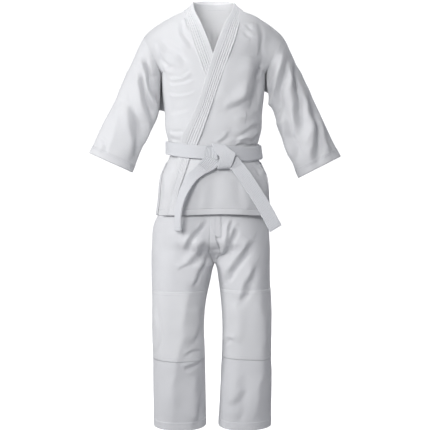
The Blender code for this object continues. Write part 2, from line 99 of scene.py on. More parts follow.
def ripple(points, size, seed, stretch=(1.0, 1.0, 1.0)):
    """Smooth noise of about -1 to 1: waves of one size that cross at seeded angles."""
    draw = np.random.default_rng(seed)
    total = 0.0
    scaled = np.asarray(points, float) / np.array(stretch)
    for _ in range(7):
        direction = unit(draw.normal(size=3)) * 2 * math.pi / (size * draw.uniform(0.7, 1.5))
        total = total + np.sin(scaled @ direction + draw.uniform(0, 2 * math.pi))
    return total / 3.4


def power(value, exponent):
    """A power that keeps the sign of its base."""
    return np.sign(value) * np.abs(value) ** exponent


def spline(points, count):
    """A smooth open curve through points, evenly spaced, with count points."""
    p = np.asarray(points, float)
    ext = np.vstack([2 * p[0] - p[1], p, 2 * p[-1] - p[-2]])
    fine = []
    for i in range(1, len(ext) - 2):
        t = np.linspace(0, 1, 24, endpoint=False)[:, None]
        a, b, c, d = ext[i - 1], ext[i], ext[i + 1], ext[i + 2]
        fine.append(0.5 * (2 * b + (c - a) * t + (2 * a - 5 * b + 4 * c - d) * t**2
                           + (3 * b - a - 3 * c + d) * t**3))
    fine = np.vstack(fine + [p[-1:]])
    length = np.concatenate([[0], np.cumsum(np.linalg.norm(np.diff(fine, axis=0), axis=1))])
    where = np.linspace(0, length[-1], count)
    return np.stack([np.interp(where, length, fine[:, k]) for k in range(p.shape[1])], axis=1)


# ---------------------------------------------------------------- fold strokes

def stroke_height(flat, stroke):
    """The height that one fold adds at points seen from the front as (x, z)."""
    path, width, height, kind = (*stroke, "fold")[:4]
    path = spline(path, 14) if len(path) > 2 else np.linspace(path[0], path[1], 14)
    best = np.full(flat.shape[:-1], 1e9)
    signed = np.zeros(flat.shape[:-1])
    along = np.zeros(flat.shape[:-1])
    for i in range(len(path) - 1):
        a, b = path[i], path[i + 1]
        run = b - a
        t = np.clip(((flat - a) @ run) / (run @ run), 0, 1)
        off = flat - (a + t[..., None] * run)
        gap = np.linalg.norm(off, axis=-1)
        side = np.sign(run[0] * off[..., 1] - run[1] * off[..., 0])
        closer = gap < best
        best = np.where(closer, gap, best)
        signed = np.where(closer, gap * side, signed)
        along = np.where(closer, (i + t) / (len(path) - 1), along)
    d = signed / width
    fade = np.clip(np.sin(math.pi * np.clip(along, 0.02, 0.98)) * 1.6, 0, 1)
    if kind == "ridge":
        shape = np.exp(-d**2)
    elif kind == "crest":
        shape = np.exp(1.15 * (0.18 - np.sqrt(d**2 + 0.18**2)))
    else:
        rise = (d - 0.5) * np.where(d > 0.5, 0.6, 1.1)
        crest = np.exp(1.5 * (0.20 - np.sqrt(rise**2 + 0.20**2)))
        shape = crest - 0.85 * np.exp(-((d + 0.62) / 0.58)**2)
    return height * fade * shape


def folds(points, normals, strokes, facing=-1.0, wobble=0.004, seed=3):
    """Moves points along their normals by fold strokes drawn on the side that faces the viewer."""
    flat = points[..., [0, 2]]
    bend = np.stack([ripple(points, 0.06, seed), ripple(points, 0.06, seed + 1)], axis=-1)
    flat = flat + wobble * bend
    mask = ease(normals[..., 1] * facing, 0.0, 0.35)
    total = np.zeros(points.shape[:-1])
    for stroke in strokes:
        total += stroke_height(flat, stroke)
    return FOLD_DEPTH * total * mask


# ---------------------------------------------------------------- meshes

def grid_normals(points, closed=False):
    """Outward normals of a grid of points. A closed grid's last column meets its first."""
    if closed:
        across = np.roll(points, -1, axis=1) - np.roll(points, 1, axis=1)
    else:
        across = np.gradient(points, axis=1)
    return unit(np.cross(across, np.gradient(points, axis=0)))


def link(name, vertices, faces, uvs, material):
    """A smooth-shaded mesh object in the scene, with its UVs in metres."""
    mesh = bpy.data.meshes.new(name)
    mesh.from_pydata([tuple(v) for v in vertices], [], [tuple(int(i) for i in f) for f in faces])
    mesh.materials.append(material)
    layer = mesh.uv_layers.new(name="cloth")
    index = np.zeros(len(mesh.loops), np.int32)
    mesh.loops.foreach_get("vertex_index", index)
    layer.data.foreach_set("uv", np.asarray(uvs, np.float32)[index].ravel())
    mesh.polygons.foreach_set("use_smooth", [True] * len(mesh.polygons))
    mesh.update()
    item = bpy.data.objects.new(name, mesh)
    bpy.context.scene.collection.objects.link(item)
    return item


def quads(rows, columns, closed, base=0, flip=False):
    """The faces of a grid whose vertices start at number base."""
    span = columns if closed else columns - 1
    i, j = np.meshgrid(np.arange(rows - 1), np.arange(span), indexing="ij")
    k = (j + 1) % columns
    face = np.stack([i * columns + j, i * columns + k, (i + 1) * columns + k, (i + 1) * columns + j], -1)
    face = face.reshape(-1, 4) + base
    return face[:, ::-1] if flip else face


def cloth(name, points, material, thickness=CLOTH, closed=False):
    """A cloth sheet with a thickness: the grid of points is its outer face, columns anticlockwise
    seen from above and rows upwards. UVs are in metres along its columns and rows."""
    points = np.asarray(points, float)
    rows, columns = points.shape[:2]
    normals = grid_normals(points, closed)
    inner = points - normals * thickness
    count = rows * columns
    step_u = np.linalg.norm(np.diff(points, axis=1), axis=2).mean(axis=0)
    step_v = np.linalg.norm(np.diff(points, axis=0), axis=2).mean(axis=1)
    u = np.concatenate([[0], np.cumsum(step_u)])
    v = np.concatenate([[0], np.cumsum(step_v)])
    u, v = np.meshgrid(u, v)
    uvs = np.tile(np.stack([u, v], -1).reshape(-1, 2), (2, 1))
    faces = [quads(rows, columns, closed), quads(rows, columns, closed, count, True)]
    span = columns if closed else columns - 1
    j = np.arange(span)
    k = (j + 1) % columns
    top = (rows - 1) * columns
    faces.append(np.stack([j, j + count, k + count, k], -1))
    faces.append(np.stack([top + k, top + k + count, top + j + count, top + j], -1))
    if not closed:
        i = np.arange(rows - 1) * columns
        last = columns - 1
        faces.append(np.stack([i, i + columns, i + columns + count, i + count], -1))
        i = i + last
        faces.append(np.stack([i, i + count, i + columns + count, i + columns], -1))
    vertices = np.vstack([points.reshape(-1, 3), inner.reshape(-1, 3)])
    return link(name, vertices, np.vstack(faces), uvs, material)


def sweep(name, origins, across, normals, section, material):
    """A strip of constant cross-section. The section is a closed loop of (across, height) pairs,
    in shares of the across vector and in metres along the normal."""
    section = np.asarray(section, float)
    rows, columns = len(origins), len(section)
    points = (origins[:, None, :] + across[:, None, :] * section[None, :, :1]
              + normals[:, None, :] * section[None, :, 1:])
    run = np.concatenate([[0], np.cumsum(np.linalg.norm(np.diff(origins, axis=0), axis=1))])
    width = np.linalg.norm(across, axis=1).mean()
    u = np.tile(section[:, 0] * width, (rows, 1))
    v = np.tile(run[:, None], (1, columns))
    uvs = np.stack([u, v], -1).reshape(-1, 2)
    faces = [list(face) for face in quads(rows, columns, True)]
    faces.append(list(range(columns))[::-1])
    faces.append([(rows - 1) * columns + i for i in range(columns)])
    item = link(name, points.reshape(-1, 3), faces, uvs, material)
    mesh = bmesh.new()
    mesh.from_mesh(item.data)
    bmesh.ops.triangulate(mesh, faces=[face for face in mesh.faces if len(face.verts) > 4])
    bmesh.ops.recalc_face_normals(mesh, faces=mesh.faces)
    mesh.to_mesh(item.data)
    mesh.free()
    return item


def ribbed_section(thickness, rows, start, end, rib, round_end=0.06, count=8):
    """A strip's closed section: rounded edges, a flat back, and stitched ribs between two shares."""
    turns = [share * math.pi / 2 for share in np.linspace(0, 1, 9)]
    rounded = [(round_end * (1 - math.cos(turn)), thickness * math.sin(turn)) for turn in turns]
    outline = list(rounded)
    front = np.linspace(round_end, 1 - round_end, rows * count + 9)[1:-1]
    for a in front:
        if start < a < end:
            phase = (a - start) / (end - start) * rows
            lift = -rib * (1 - abs(math.sin(math.pi * phase)) ** 0.75)
        else:
            lift = 0.0
        outline.append((a, thickness + lift))
    outline += [(1 - across, height) for across, height in reversed(rounded)]
    return outline[::-1]


class Thread:
    """Collects stitches along lines, and makes one mesh of them. A stitch is a thin square rod that
    narrows to a point at both ends."""

    def __init__(self):
        self.vertices = []
        self.faces = []
        self.count = 0

    def row(self, line, normals, pitch=0.0042, length=0.0028, radius=0.00042):
        """A row of stitches along a line of points, lying on the side that the normals point to."""
        line = np.asarray(line, float)
        normals = unit(normals)
        run = np.concatenate([[0], np.cumsum(np.linalg.norm(np.diff(line, axis=0), axis=1))])
        if run[-1] < pitch:
            return
        middles = np.arange(pitch / 2, run[-1], pitch)
        where = [np.stack([np.interp(middles + shift, run, line[:, k]) for k in range(3)], -1)
                 for shift in (-length / 2, -length / 4, length / 4, length / 2)]
        out = unit(np.stack([np.interp(middles, run, normals[:, k]) for k in range(3)], -1))
        side = unit(np.cross(where[3] - where[0], out))
        n = len(middles)
        ring = []
        for end in (1, 2):
            for a, b in ((1, 0), (0, 1), (-1, 0), (0, -1)):
                ring.append(where[end] + radius * (a * side + b * out))
        stack = np.stack([where[0] - out * radius * 0.6] + ring + [where[3] - out * radius * 0.6], 1)
        self.vertices.append(stack.reshape(-1, 3))
        pattern = []
        for q in range(4):
            r = (q + 1) % 4
            pattern.append((0, 1 + r, 1 + q, 1 + q))
            pattern.append((1 + q, 1 + r, 5 + r, 5 + q))
            pattern.append((9, 5 + q, 5 + r, 5 + r))
        pattern = np.array(pattern)
        base = self.count + 10 * np.arange(n)
        self.faces.append((base[:, None, None] + pattern[None]).reshape(-1, 4))
        self.count += 10 * n

    def make(self, name, material):
        """The one mesh of all the rows."""
        vertices = np.vstack(self.vertices)
        faces = [tuple(dict.fromkeys(face)) for face in np.vstack(self.faces).tolist()]
        return link(name, vertices, faces, vertices[:, :2], material)


# ---------------------------------------------------------------- materials

# A wave texture's bands repeat every pi / 10 of its scale.
WAVES_PER_SCALE = 3.1831


def fabric(name, colour, pitch, twill=False, sheen=0.15, roughness=0.92, depth=0.00035, mottling=0.03):
    """Woven cotton: a fine weave, slubs along the yarn, faint mottling and a soft sheen."""
    material = bpy.data.materials.new(name)
    material.use_nodes = True
    nodes, links = material.node_tree.nodes, material.node_tree.links

    def node(kind, inputs=(), **settings):
        """A new node. Its inputs are values, or other nodes' outputs to link to."""
        made = nodes.new("ShaderNode" + kind)
        for setting, value in settings.items():
            setattr(made, setting, value)
        fill(made, dict(inputs))
        return made

    def fill(made, inputs):
        for key, value in inputs.items():
            if isinstance(value, bpy.types.NodeSocket):
                links.new(value, made.inputs[key])
            else:
                made.inputs[key].default_value = value

    coordinates = node("TexCoord")

    def wave(direction, tilt):
        """Bands of yarn across one direction of the cloth, in metres of its UVs."""
        mapping = node("Mapping", {"Rotation": (0, 0, tilt), "Vector": coordinates.outputs["UV"]})
        scale = 1 / (pitch * WAVES_PER_SCALE)
        return node("TexWave", {"Scale": scale, "Distortion": 0.6, "Detail": 1.0,
                                "Vector": mapping.outputs["Vector"]}, bands_direction=direction)

    warp = wave("X", math.radians(45) if twill else 0.0).outputs["Fac"]
    weft = wave("Y", 0.0).outputs["Fac"]
    weave = node("Math", {0: warp, 1: weft, 2: warp}, operation="MULTIPLY_ADD").outputs["Value"]

    slub = node("TexNoise", {"Scale": 420, "Detail": 3, "Vector": coordinates.outputs["UV"]}).outputs["Fac"]
    relief = node("Math", {0: slub, 1: 0.8, 2: weave}, operation="MULTIPLY_ADD")
    bump = node("Bump", {"Strength": 0.5, "Distance": depth, "Height": relief.outputs["Value"]})

    mottle = node("TexNoise", {"Scale": 9, "Detail": 6, "Vector": coordinates.outputs["Object"]})
    ramp = node("ValToRGB", {"Fac": mottle.outputs["Fac"]})
    dark, light = ramp.color_ramp.elements
    dark.position, light.position = 0.3, 0.7
    dark.color = (*[channel * (1 - mottling) for channel in colour], 1)
    light.color = (*colour, 1)
    shade = node("MapRange", {"From Max": 2.0, "To Min": 0.90, "To Max": 1.0, "Value": weave})
    tint = node("Mix", {"Factor": 1.0, "A": ramp.outputs["Color"], "B": shade.outputs["Result"]},
                data_type="RGBA", blend_type="MULTIPLY")
    roughest = min(roughness + 0.05, 1.0)
    rough = node("MapRange", {"To Min": roughness - 0.06, "To Max": roughest, "Value": slub})

    fill(nodes["Principled BSDF"], {
        "Sheen Weight": sheen, "Sheen Roughness": 0.5, "Specular IOR Level": 0.25,
        "Normal": bump.outputs["Normal"], "Base Color": tint.outputs["Result"],
        "Roughness": rough.outputs["Result"],
    })
    return material


JACKET_CLOTH = fabric("jacket_cloth", (0.83, 0.835, 0.85), 0.0016, depth=0.0004)
BAND_CLOTH = fabric("band_cloth", (0.84, 0.845, 0.86), 0.0011, twill=True)
# Painted light: the lining is lighter than the jacket cloth so that the inside of the neck, which lies in
# shade, shows brighter.
LINING_CLOTH_PAINTED_LIGHT = fabric("lining_cloth", (0.93, 0.935, 0.95), 0.0009)
TROUSER_CLOTH = fabric("trouser_cloth", (0.825, 0.83, 0.85), 0.0012, twill=True)
PATCH_CLOTH = fabric("patch_cloth", (0.865, 0.87, 0.885), 0.0012, twill=True)
BELT_CLOTH = fabric("belt_cloth", (0.79, 0.80, 0.825), 0.0010, sheen=0.1)
# Painted shade: the thread is white, and this grey stands in for the shade along the rows of stitches.
THREAD_PAINTED_SHADE = fabric("thread_painted_shade", (0.64, 0.65, 0.69), 0.0006, sheen=0.3, mottling=0.05)


def finish(item, body, replaces=()):
    """Puts a piece on its body, or for a blend only bakes its transform, and hides the CAD parts that it
    stands for.
    """
    if isinstance(body, str):
        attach(item, body)
    else:
        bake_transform(item)
    if replaces:
        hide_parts(*replaces)
    return item


# ---------------------------------------------------------------- jacket body

# Heights of the jacket body's lower edge, its underarm points and its top beside the neck.
UPPER_BOTTOM = -0.034
UNDERARM = 0.250
SHOULDER_TOP = 0.465
# Height, half width and half depth of the jacket body.
JACKET = [(-0.060, 0.146, 0.108), (-0.020, 0.138, 0.104), (0.012, 0.137, 0.103), (0.040, 0.1455, 0.110),
          (0.070, 0.153, 0.116), (0.120, 0.1555, 0.119),
          (0.200, 0.163, 0.125), (0.250, 0.166, 0.127)]
# The sleeves' upper and lower outlines: share of the way to the cuff, distance out and height.
SLEEVE_OUTER = {
    "left": [(0.0, 0.225, 0.372), (0.12, 0.243, 0.330), (0.40, 0.290, 0.224), (0.70, 0.350, 0.105),
             (1.0, 0.4062, -0.0135)],
    "right": [(0.0, 0.225, 0.372), (0.12, 0.243, 0.330), (0.40, 0.288, 0.224), (0.70, 0.345, 0.108),
              (1.0, 0.3970, -0.002)],
}
SLEEVE_INNER = {
    "left": [(0.0, 0.166, 0.250), (0.12, 0.172, 0.222), (0.30, 0.184, 0.180), (0.42, 0.189, 0.153),
             (0.50, 0.193, 0.128), (0.60, 0.2055, 0.090), (0.70, 0.222, 0.045), (1.0, 0.2715, -0.0820)],
    "right": [(0.0, 0.166, 0.250), (0.12, 0.169, 0.222), (0.30, 0.172, 0.178), (0.43, 0.174, 0.138),
              (0.50, 0.181, 0.112), (0.58, 0.194, 0.084), (0.70, 0.2135, 0.045), (1.0, 0.2600, -0.0640)],
}
# Half depth of the sleeves along the way to the cuff.
SLEEVE_DEPTH = [(0.0, 0.058), (0.12, 0.061), (0.40, 0.057), (0.70, 0.051), (1.0, 0.046)]
ARMHOLE_DEPTH = 0.058
# The armhole seam's middle and half length, and the way that the sleeve leaves it.
SEAM_MIDDLE = np.array([0.1955, 0.0, 0.311])
SEAM_HALF = 0.0678
SLEEVE_WAY = np.array([0.900, 0.0, -0.435])
SEAM_WAY = np.array([0.435, 0.0, 0.900])
NECK_HALF = 0.088
# The collar seam's ring at the back of the neck: half width and half depth.
COLLAR_HALF = 0.0895
COLLAR_DEPTH = 0.0825
# A body level runs from 0 at the lower edge to 1 at the underarm and 2 at the shoulder's ridge. The
# cloth stops just before the ridge, where front and back would fall into one line.
RIDGE = 1.9997
# The level of the back's top in the middle, below the collar.
NAPE = 1.58


def body_row(level):
    """The jacket body's row at a level: its height and depth in the middle, then its far end's
    distance out, depth and height."""
    level = np.asarray(level, float)
    below = np.clip(level, 0, 1)
    climb = np.clip(level - 1, 0, 1)
    z = UPPER_BOTTOM + (UNDERARM - UPPER_BOTTOM) * below
    rise = np.sin(climb * math.pi / 2) ** 0.8
    fall = np.clip(np.cos(climb * math.pi / 2), 0, 1) ** 0.8
    outer = np.array(SLEEVE_OUTER["left"][0][1:])
    inner = np.array(SLEEVE_INNER["left"][0][1:])
    middle = (outer + inner) / 2
    half = (outer - inner) / 2
    turn = math.pi * climb
    upper = climb > 0
    far_x = np.where(upper, middle[0] - half[0] * np.cos(turn), smooth(JACKET, z, 1))
    far_z = np.where(upper, middle[1] - half[1] * np.cos(turn), z)
    far_depth = np.where(upper, ARMHOLE_DEPTH * np.sin(turn), 0.0)
    mid_z = np.where(upper, UNDERARM + (SHOULDER_TOP - UNDERARM) * rise, z)
    depth = smooth(JACKET, z, 2) * np.where(upper, fall, 1.0)
    return mid_z, depth, far_x, far_depth, far_z


def body_points(share, level, back=False):
    """Points of the jacket body. share is the distance from the centre line over the half width."""
    mid_z, depth, far_x, far_depth, far_z = body_row(level)
    gap = np.clip(np.abs(share), 0, 1)
    swell = np.clip(1 - gap**ROUND, 0, 1) ** (1 / ROUND)
    shoulder = ease(level, 1.02, 1.35)
    swell = swell * (1 - shoulder) + (1 - gap**3.0) * shoulder
    y = far_depth + (depth - far_depth) * swell
    return np.stack([share * far_x, y if back else -y, mid_z + (far_z - mid_z) * gap**2], -1)


def chest(x, z):
    """Front points of the jacket body at given distances and heights, and their outward normals."""
    x, z = np.broadcast_arrays(np.asarray(x, float), np.asarray(z, float))

    def solve(x, z):
        low, high = np.zeros_like(x), np.full_like(x, 1.999)
        for _ in range(32):
            level = (low + high) / 2
            share = x / body_row(level)[2]
            under = body_points(share, level)[..., 2] < z
            low = np.where(under, level, low)
            high = np.where(under, high, level)
        return body_points(x / body_row(low)[2], low)

    point = solve(x, z)
    step = 0.002
    across = solve(x + step, z) - solve(x - step, z)
    up = solve(x, z + step) - solve(x, z - step)
    return point, unit(np.cross(across, up))


# The bands' edges: height, then distance across the centre line towards the wearer's left.
BAND_INNER = [(-0.060, -0.121), (-0.026, -0.109), (0.038, -0.0975), (0.134, -0.053), (0.230, -0.0225),
              (0.326, 0.008), (0.422, 0.0464)]
BAND_OUTER = [(-0.060, -0.082), (-0.026, -0.069), (0.029, -0.043), (0.100, -0.017), (0.166, 0.005),
              (0.246, 0.033), (0.326, 0.062), (0.428, 0.091)]
SKIRT_INNER = [(-0.210, -0.158), (-0.130, -0.136), (-0.060, -0.1165), (-0.010, -0.104)]
SKIRT_OUTER = [(-0.210, -0.114), (-0.175, -0.1105), (-0.140, -0.105), (-0.060, -0.080), (-0.010, -0.064)]
# How far the left front is lifted where it lies over the right one.
LAP = 0.0048


def lap_lift(share):
    """The left front's lift, which fades out towards its side seam."""
    return LAP * ease(0.93 - share, 0.0, 0.30)


def round_shoulder(points, side):
    """Eases the crease at the armhole: the seam fills out forward and back, and its top corner drops."""
    local = points * np.array([SIDE[side], 1, 1]) - SEAM_MIDDLE
    off = np.abs(local @ SLEEVE_WAY)
    along = np.clip((local @ SEAM_WAY) / SEAM_HALF, -1, 1)
    fill = 0.015 * np.exp(-off / 0.040) * np.sqrt(1 - along**2)
    drop = 0.0045 * np.exp(-off / 0.020) * ease(along, 0.2, 1.0)
    moved = points.copy()
    moved[..., 1] += fill * points[..., 1] / (np.abs(points[..., 1]) + 0.012)
    moved[..., 0] -= SIDE[side] * drop * 0.75
    moved[..., 2] -= drop * 0.66
    return moved


# Each fold: points (distance, height) seen from the front, half width, height and kind.
FRONT_FOLDS = {
    "left": [
        ([(0.144, 0.29), (0.139, 0.35), (0.140, 0.41)], 0.014, 0.0026),
        ([(0.118, 0.34), (0.117, 0.37), (0.121, 0.41)], 0.011, 0.0016, "ridge"),
        ([(0.120, 0.366), (0.105, 0.374), (0.092, 0.388)], 0.010, 0.0012),
        ([(0.116, 0.342), (0.100, 0.349), (0.084, 0.362)], 0.009, 0.0011),
        ([(0.104, 0.13), (0.116, 0.21), (0.134, 0.29)], 0.030, 0.0090),
        ([(0.166, 0.262), (0.148, 0.250), (0.132, 0.222)], 0.012, 0.0035),
        ([(0.030, 0.128), (0.075, 0.150), (0.120, 0.190)], 0.016, 0.0028),
        ([(0.150, 0.150), (0.110, 0.120), (0.060, 0.108)], 0.016, 0.0020),
        ([(0.060, 0.048), (0.105, 0.066), (0.152, 0.092)], 0.013, 0.0034),
        ([(0.075, 0.030), (0.115, 0.042), (0.152, 0.058)], 0.010, 0.0040),
        ([(0.066, 0.014), (0.105, 0.026), (0.150, 0.036)], 0.007, 0.0036),
        ([(0.012, 0.022), (0.030, 0.034), (0.050, 0.058)], 0.010, 0.0016),
        ([(0.006, 0.13), (0.030, 0.20), (0.058, 0.29)], 0.020, 0.0014, "ridge"),
    ],
    "right": [
        ([(-0.060, 0.362), (-0.078, 0.385), (-0.094, 0.418)], 0.008, 0.0030),
        ([(-0.066, 0.308), (-0.092, 0.348), (-0.112, 0.402)], 0.014, 0.0028),
        ([(-0.088, 0.258), (-0.130, 0.305), (-0.184, 0.345)], 0.018, 0.0042),
        ([(-0.120, 0.250), (-0.150, 0.268), (-0.182, 0.290)], 0.012, 0.0035),
        ([(-0.064, 0.243), (-0.105, 0.231), (-0.142, 0.236)], 0.007, 0.0026),
        ([(-0.058, 0.216), (-0.110, 0.207), (-0.146, 0.218)], 0.009, 0.0020),
        ([(-0.055, 0.182), (-0.100, 0.174), (-0.146, 0.180)], 0.006, 0.0024),
        ([(-0.070, 0.125), (-0.110, 0.118), (-0.142, 0.122)], 0.012, 0.0014),
        ([(-0.090, 0.048), (-0.120, 0.054), (-0.150, 0.064)], 0.008, 0.0026),
        ([(-0.100, 0.030), (-0.125, 0.036), (-0.150, 0.043)], 0.006, 0.0024),
    ],
}
BACK_FOLDS = [
    ([(-0.150, 0.22), (-0.090, 0.17), (-0.030, 0.15)], 0.014, 0.0022),
    ([(0.150, 0.23), (0.095, 0.18), (0.040, 0.16)], 0.014, 0.0022),
    ([(-0.120, 0.40), (-0.100, 0.32), (-0.105, 0.24)], 0.018, 0.0020, "ridge"),
    ([(0.125, 0.40), (0.105, 0.31), (0.110, 0.24)], 0.018, 0.0020, "ridge"),
    ([(-0.150, 0.085), (-0.090, 0.060), (-0.030, 0.058)], 0.011, 0.0034),
    ([(0.150, 0.092), (0.100, 0.066), (0.045, 0.060)], 0.011, 0.0034),
    ([(-0.130, 0.050), (-0.080, 0.036), (-0.010, 0.040)], 0.008, 0.0032),
    ([(0.140, 0.052), (0.090, 0.040), (0.020, 0.046)], 0.008, 0.0032),
]


def front_panel(side):
    """A jacket front, from under its band to the side seam and the armhole."""
    level = np.concatenate([np.linspace(0, 1, 76), np.linspace(1, RIDGE, 92)[1:]])
    mid_z, _, far_x, _, far_z = body_row(level)
    start = np.zeros_like(level)
    for _ in range(6):
        share = np.clip(start / far_x, -1, 1)
        z = mid_z + (far_z - mid_z) * share**2
        edge = smooth(BAND_OUTER, z, 1) - 0.012
        start = np.minimum(edge, NECK_HALF - 0.004)
    first = np.arcsin(np.clip(np.abs(start / far_x), 0, 1) ** (ROUND / 2)) * np.sign(start)
    angle = first[:, None] + (math.pi / 2 - 0.002 - first[:, None]) * np.linspace(0, 1, 104)[None]
    share = power(np.sin(angle), 2 / ROUND)
    points = body_points(share, level[:, None])
    normals = grid_normals(points)
    if side == "left":
        lift = lap_lift(share) * ease(1.98 - level[:, None], 0, 0.25)
        points = points + normals * lift[..., None]
    points[..., 0] *= SIDE[side]
    points = round_shoulder(points, side)
    if side == "right":
        points, share = points[:, ::-1], share[:, ::-1]
    normals = grid_normals(points)
    height = folds(points, normals, FRONT_FOLDS[side])
    calm = ease(2.0 - level[:, None], 0.0, 0.12) * ease(1 - ease(share, 0.0, 1.0), 0.0, 0.04)
    points = points + normals * (height * calm)[..., None]
    unevenness = 0.0011 * ripple(points, 0.075, 21 if side == "left" else 22)
    return points + normals * (calm * unevenness)[..., None]


def neck_rise(points, count):
    """Adds rows that carry the back up to the collar's seam."""
    top = points[-1]
    gap = np.clip(np.abs(top[:, 0]) / COLLAR_HALF, 0, 1)
    seam = np.stack([top[:, 0], COLLAR_DEPTH * np.sqrt(1 - gap**2), np.full(len(top), 0.4530)], -1)
    reach = ease(1 - gap, 0.0, 0.06)[:, None]
    seam = top + (seam - top) * reach
    steps = np.linspace(0, 1, count + 1)[1:, None, None]
    return np.concatenate([points, top[None] + (seam - top)[None] * steps])


def back_panel(side):
    """Half of the jacket's back, from the centre seam to the side seam and the armhole."""
    angle = np.linspace(0.0, math.pi / 2 - 0.002, 80)
    share = power(np.sin(angle), 2 / ROUND)[None]
    reach = np.clip(share * 0.225 / NECK_HALF, 0, 1)
    top = NAPE + (RIDGE - NAPE) * reach**3
    level = np.linspace(0, 1, 150)[:, None] * top
    points = neck_rise(body_points(share + 0 * level, level, back=True), 12)
    level = np.vstack([level, np.tile(level[-1:], (12, 1))])
    top = np.broadcast_to(top, level.shape)
    points[..., 0] *= SIDE[side]
    points = round_shoulder(points, side)
    if side == "left":
        points = points[:, ::-1]
    normals = grid_normals(points)
    calm = ease(level, 0.0, 0.2) * ease(top - level, 0.0, 0.1)
    calm = calm if side == "right" else calm[:, ::-1]
    off_seam = np.abs(points[..., 0])
    height = folds(points, normals, BACK_FOLDS, facing=1.0, seed=9) * ease(off_seam, 0.0, 0.03)
    height = height + 0.0014 * ripple(points, 0.09, 31, (1, 1, 1.6)) * ease(off_seam, 0.0, 0.04)
    return points + normals * (height * calm)[..., None]


def build_body():
    """The jacket above the belt: two fronts and the two halves of its back."""
    for side in SIDE:
        front = cloth(f"jacket_front_cloth_{side}", front_panel(side), JACKET_CLOTH)
        finish(front, "upper_body", [f"jacket_front_{side}"])
        back = cloth(f"jacket_back_cloth_{side}", back_panel(side), JACKET_CLOTH)
        finish(back, "upper_body", [f"jacket_back_{side}"])


build_body()


# ---------------------------------------------------------------- sleeves

# The length of sleeve, from the armhole seam outwards, that its blend spans.
SLEEVE_BLEND = 0.13
# The web under each arm: heights of its lower corners at the body and at the sleeve, then its edge
# on the sleeve as heights and distances out, and its edge on the body.
WEB_BOTTOM = {"left": (0.198, 0.166), "right": (0.128, 0.120)}
WEB_EDGE = ([0.110, 0.160, 0.222, 0.262], [0.212, 0.212, 0.196, 0.180])
WEB_INSIDE = 0.146
WEB_TOP = 0.262
# The hem's and the gusset's places along the sleeve, and the gusset's half angle round it.
SLEEVE_HEM = 0.935
GUSSET_REACH = 0.36
GUSSET_ANGLE = math.radians(38)
SLEEVE_FOLDS = {
    "left": [
        ([(0.196, 0.120), (0.208, 0.215), (0.228, 0.318)], 0.019, 0.0115),
        ([(0.276, 0.045), (0.254, 0.180), (0.240, 0.318)], 0.021, 0.0130),
        ([(0.318, -0.045), (0.314, 0.080), (0.282, 0.210)], 0.021, 0.0110),
        ([(0.262, -0.040), (0.244, 0.050), (0.224, 0.135)], 0.017, 0.0075),
        ([(0.375, -0.015), (0.358, 0.050), (0.334, 0.130)], 0.016, 0.0050),
        ([(0.290, 0.010), (0.297, 0.070), (0.284, 0.130)], 0.014, 0.0055, "crest"),
    ],
    "right": [
        ([(-0.206, 0.090), (-0.222, 0.175), (-0.240, 0.255)], 0.017, 0.0100),
        ([(-0.176, 0.130), (-0.204, 0.214), (-0.226, 0.305)], 0.014, 0.0085),
        ([(-0.262, -0.035), (-0.250, 0.060), (-0.266, 0.155)], 0.020, 0.0075),
        ([(-0.225, 0.010), (-0.212, 0.065), (-0.222, 0.120)], 0.013, 0.0050, "crest"),
        ([(-0.330, 0.000), (-0.306, 0.080), (-0.292, 0.160)], 0.019, 0.0050, "crest"),
        ([(-0.350, -0.010), (-0.345, 0.020), (-0.360, 0.050)], 0.010, 0.0022),
    ],
}
SLEEVE_BACK_FOLDS = [
    ([(0.215, 0.30), (0.250, 0.22), (0.262, 0.12)], 0.018, 0.0060),
    ([(0.245, 0.29), (0.290, 0.18), (0.330, 0.08)], 0.020, 0.0050),
    ([(0.230, 0.16), (0.265, 0.06), (0.300, -0.02)], 0.017, 0.0050, "ridge"),
]


def sleeve_points(side, place, turn, lift=0.0):
    """Points of a sleeve. Place runs from armhole to cuff; turn from underarm over front to top."""
    place, turn = np.broadcast_arrays(place, turn)
    ends = []
    for table in (SLEEVE_OUTER[side], SLEEVE_INNER[side]):
        ends.append(np.stack([smooth(table, place, 1), smooth(table, place, 2)], -1))
    outer, inner = ends
    half = (outer - inner) / 2
    long_way = half * (1 + lift / np.linalg.norm(half, axis=-1, keepdims=True))
    depth = smooth(SLEEVE_DEPTH, place, 1) + lift
    middle = (outer + inner) / 2 - long_way * np.cos(turn)[..., None]
    return np.stack([SIDE[side] * middle[..., 0], -depth * np.sin(turn), middle[..., 1]], -1)


def sleeve_grid(side, places, turns, lift=0.0):
    """A patch of a sleeve with its folds. Places run downwards and turns run forward."""
    points = sleeve_points(side, places, turns, lift)[::-1]
    shape = points.shape[:2]
    place = np.broadcast_to(places, shape)[::-1]
    turn = np.broadcast_to(turns, shape)[::-1]
    calm = np.broadcast_to(ease(places, 0.0, 0.16), shape)[::-1]
    if side == "right":
        points, turn = points[:, ::-1], turn[:, ::-1]
    radial = unit(sleeve_points(side, place, turn, 0.01) - sleeve_points(side, place, turn, 0.0))
    points = round_shoulder(points, side)
    front = folds(points, radial, SLEEVE_FOLDS[side], seed=11)
    mirrored = points * np.array([SIDE[side], 1, 1])
    behind = folds(mirrored, radial, SLEEVE_BACK_FOLDS, facing=1.0, seed=13)
    unevenness = 0.0016 * ripple(points, 0.085, 41 if side == "left" else 42, (1, 1, 1.7))
    return points + radial * ((front + behind + unevenness) * calm)[..., None]


def sleeve_blend(side):
    """The two bodies that a sleeve joins, and the stretch over which it passes between them."""
    flip = np.array([SIDE[side], 1, 1])
    start = SEAM_MIDDLE * flip
    end = (SEAM_MIDDLE + SLEEVE_WAY * SLEEVE_BLEND) * flip
    return ("upper_body", f"{side}_sleeve", tuple(start), tuple(end))


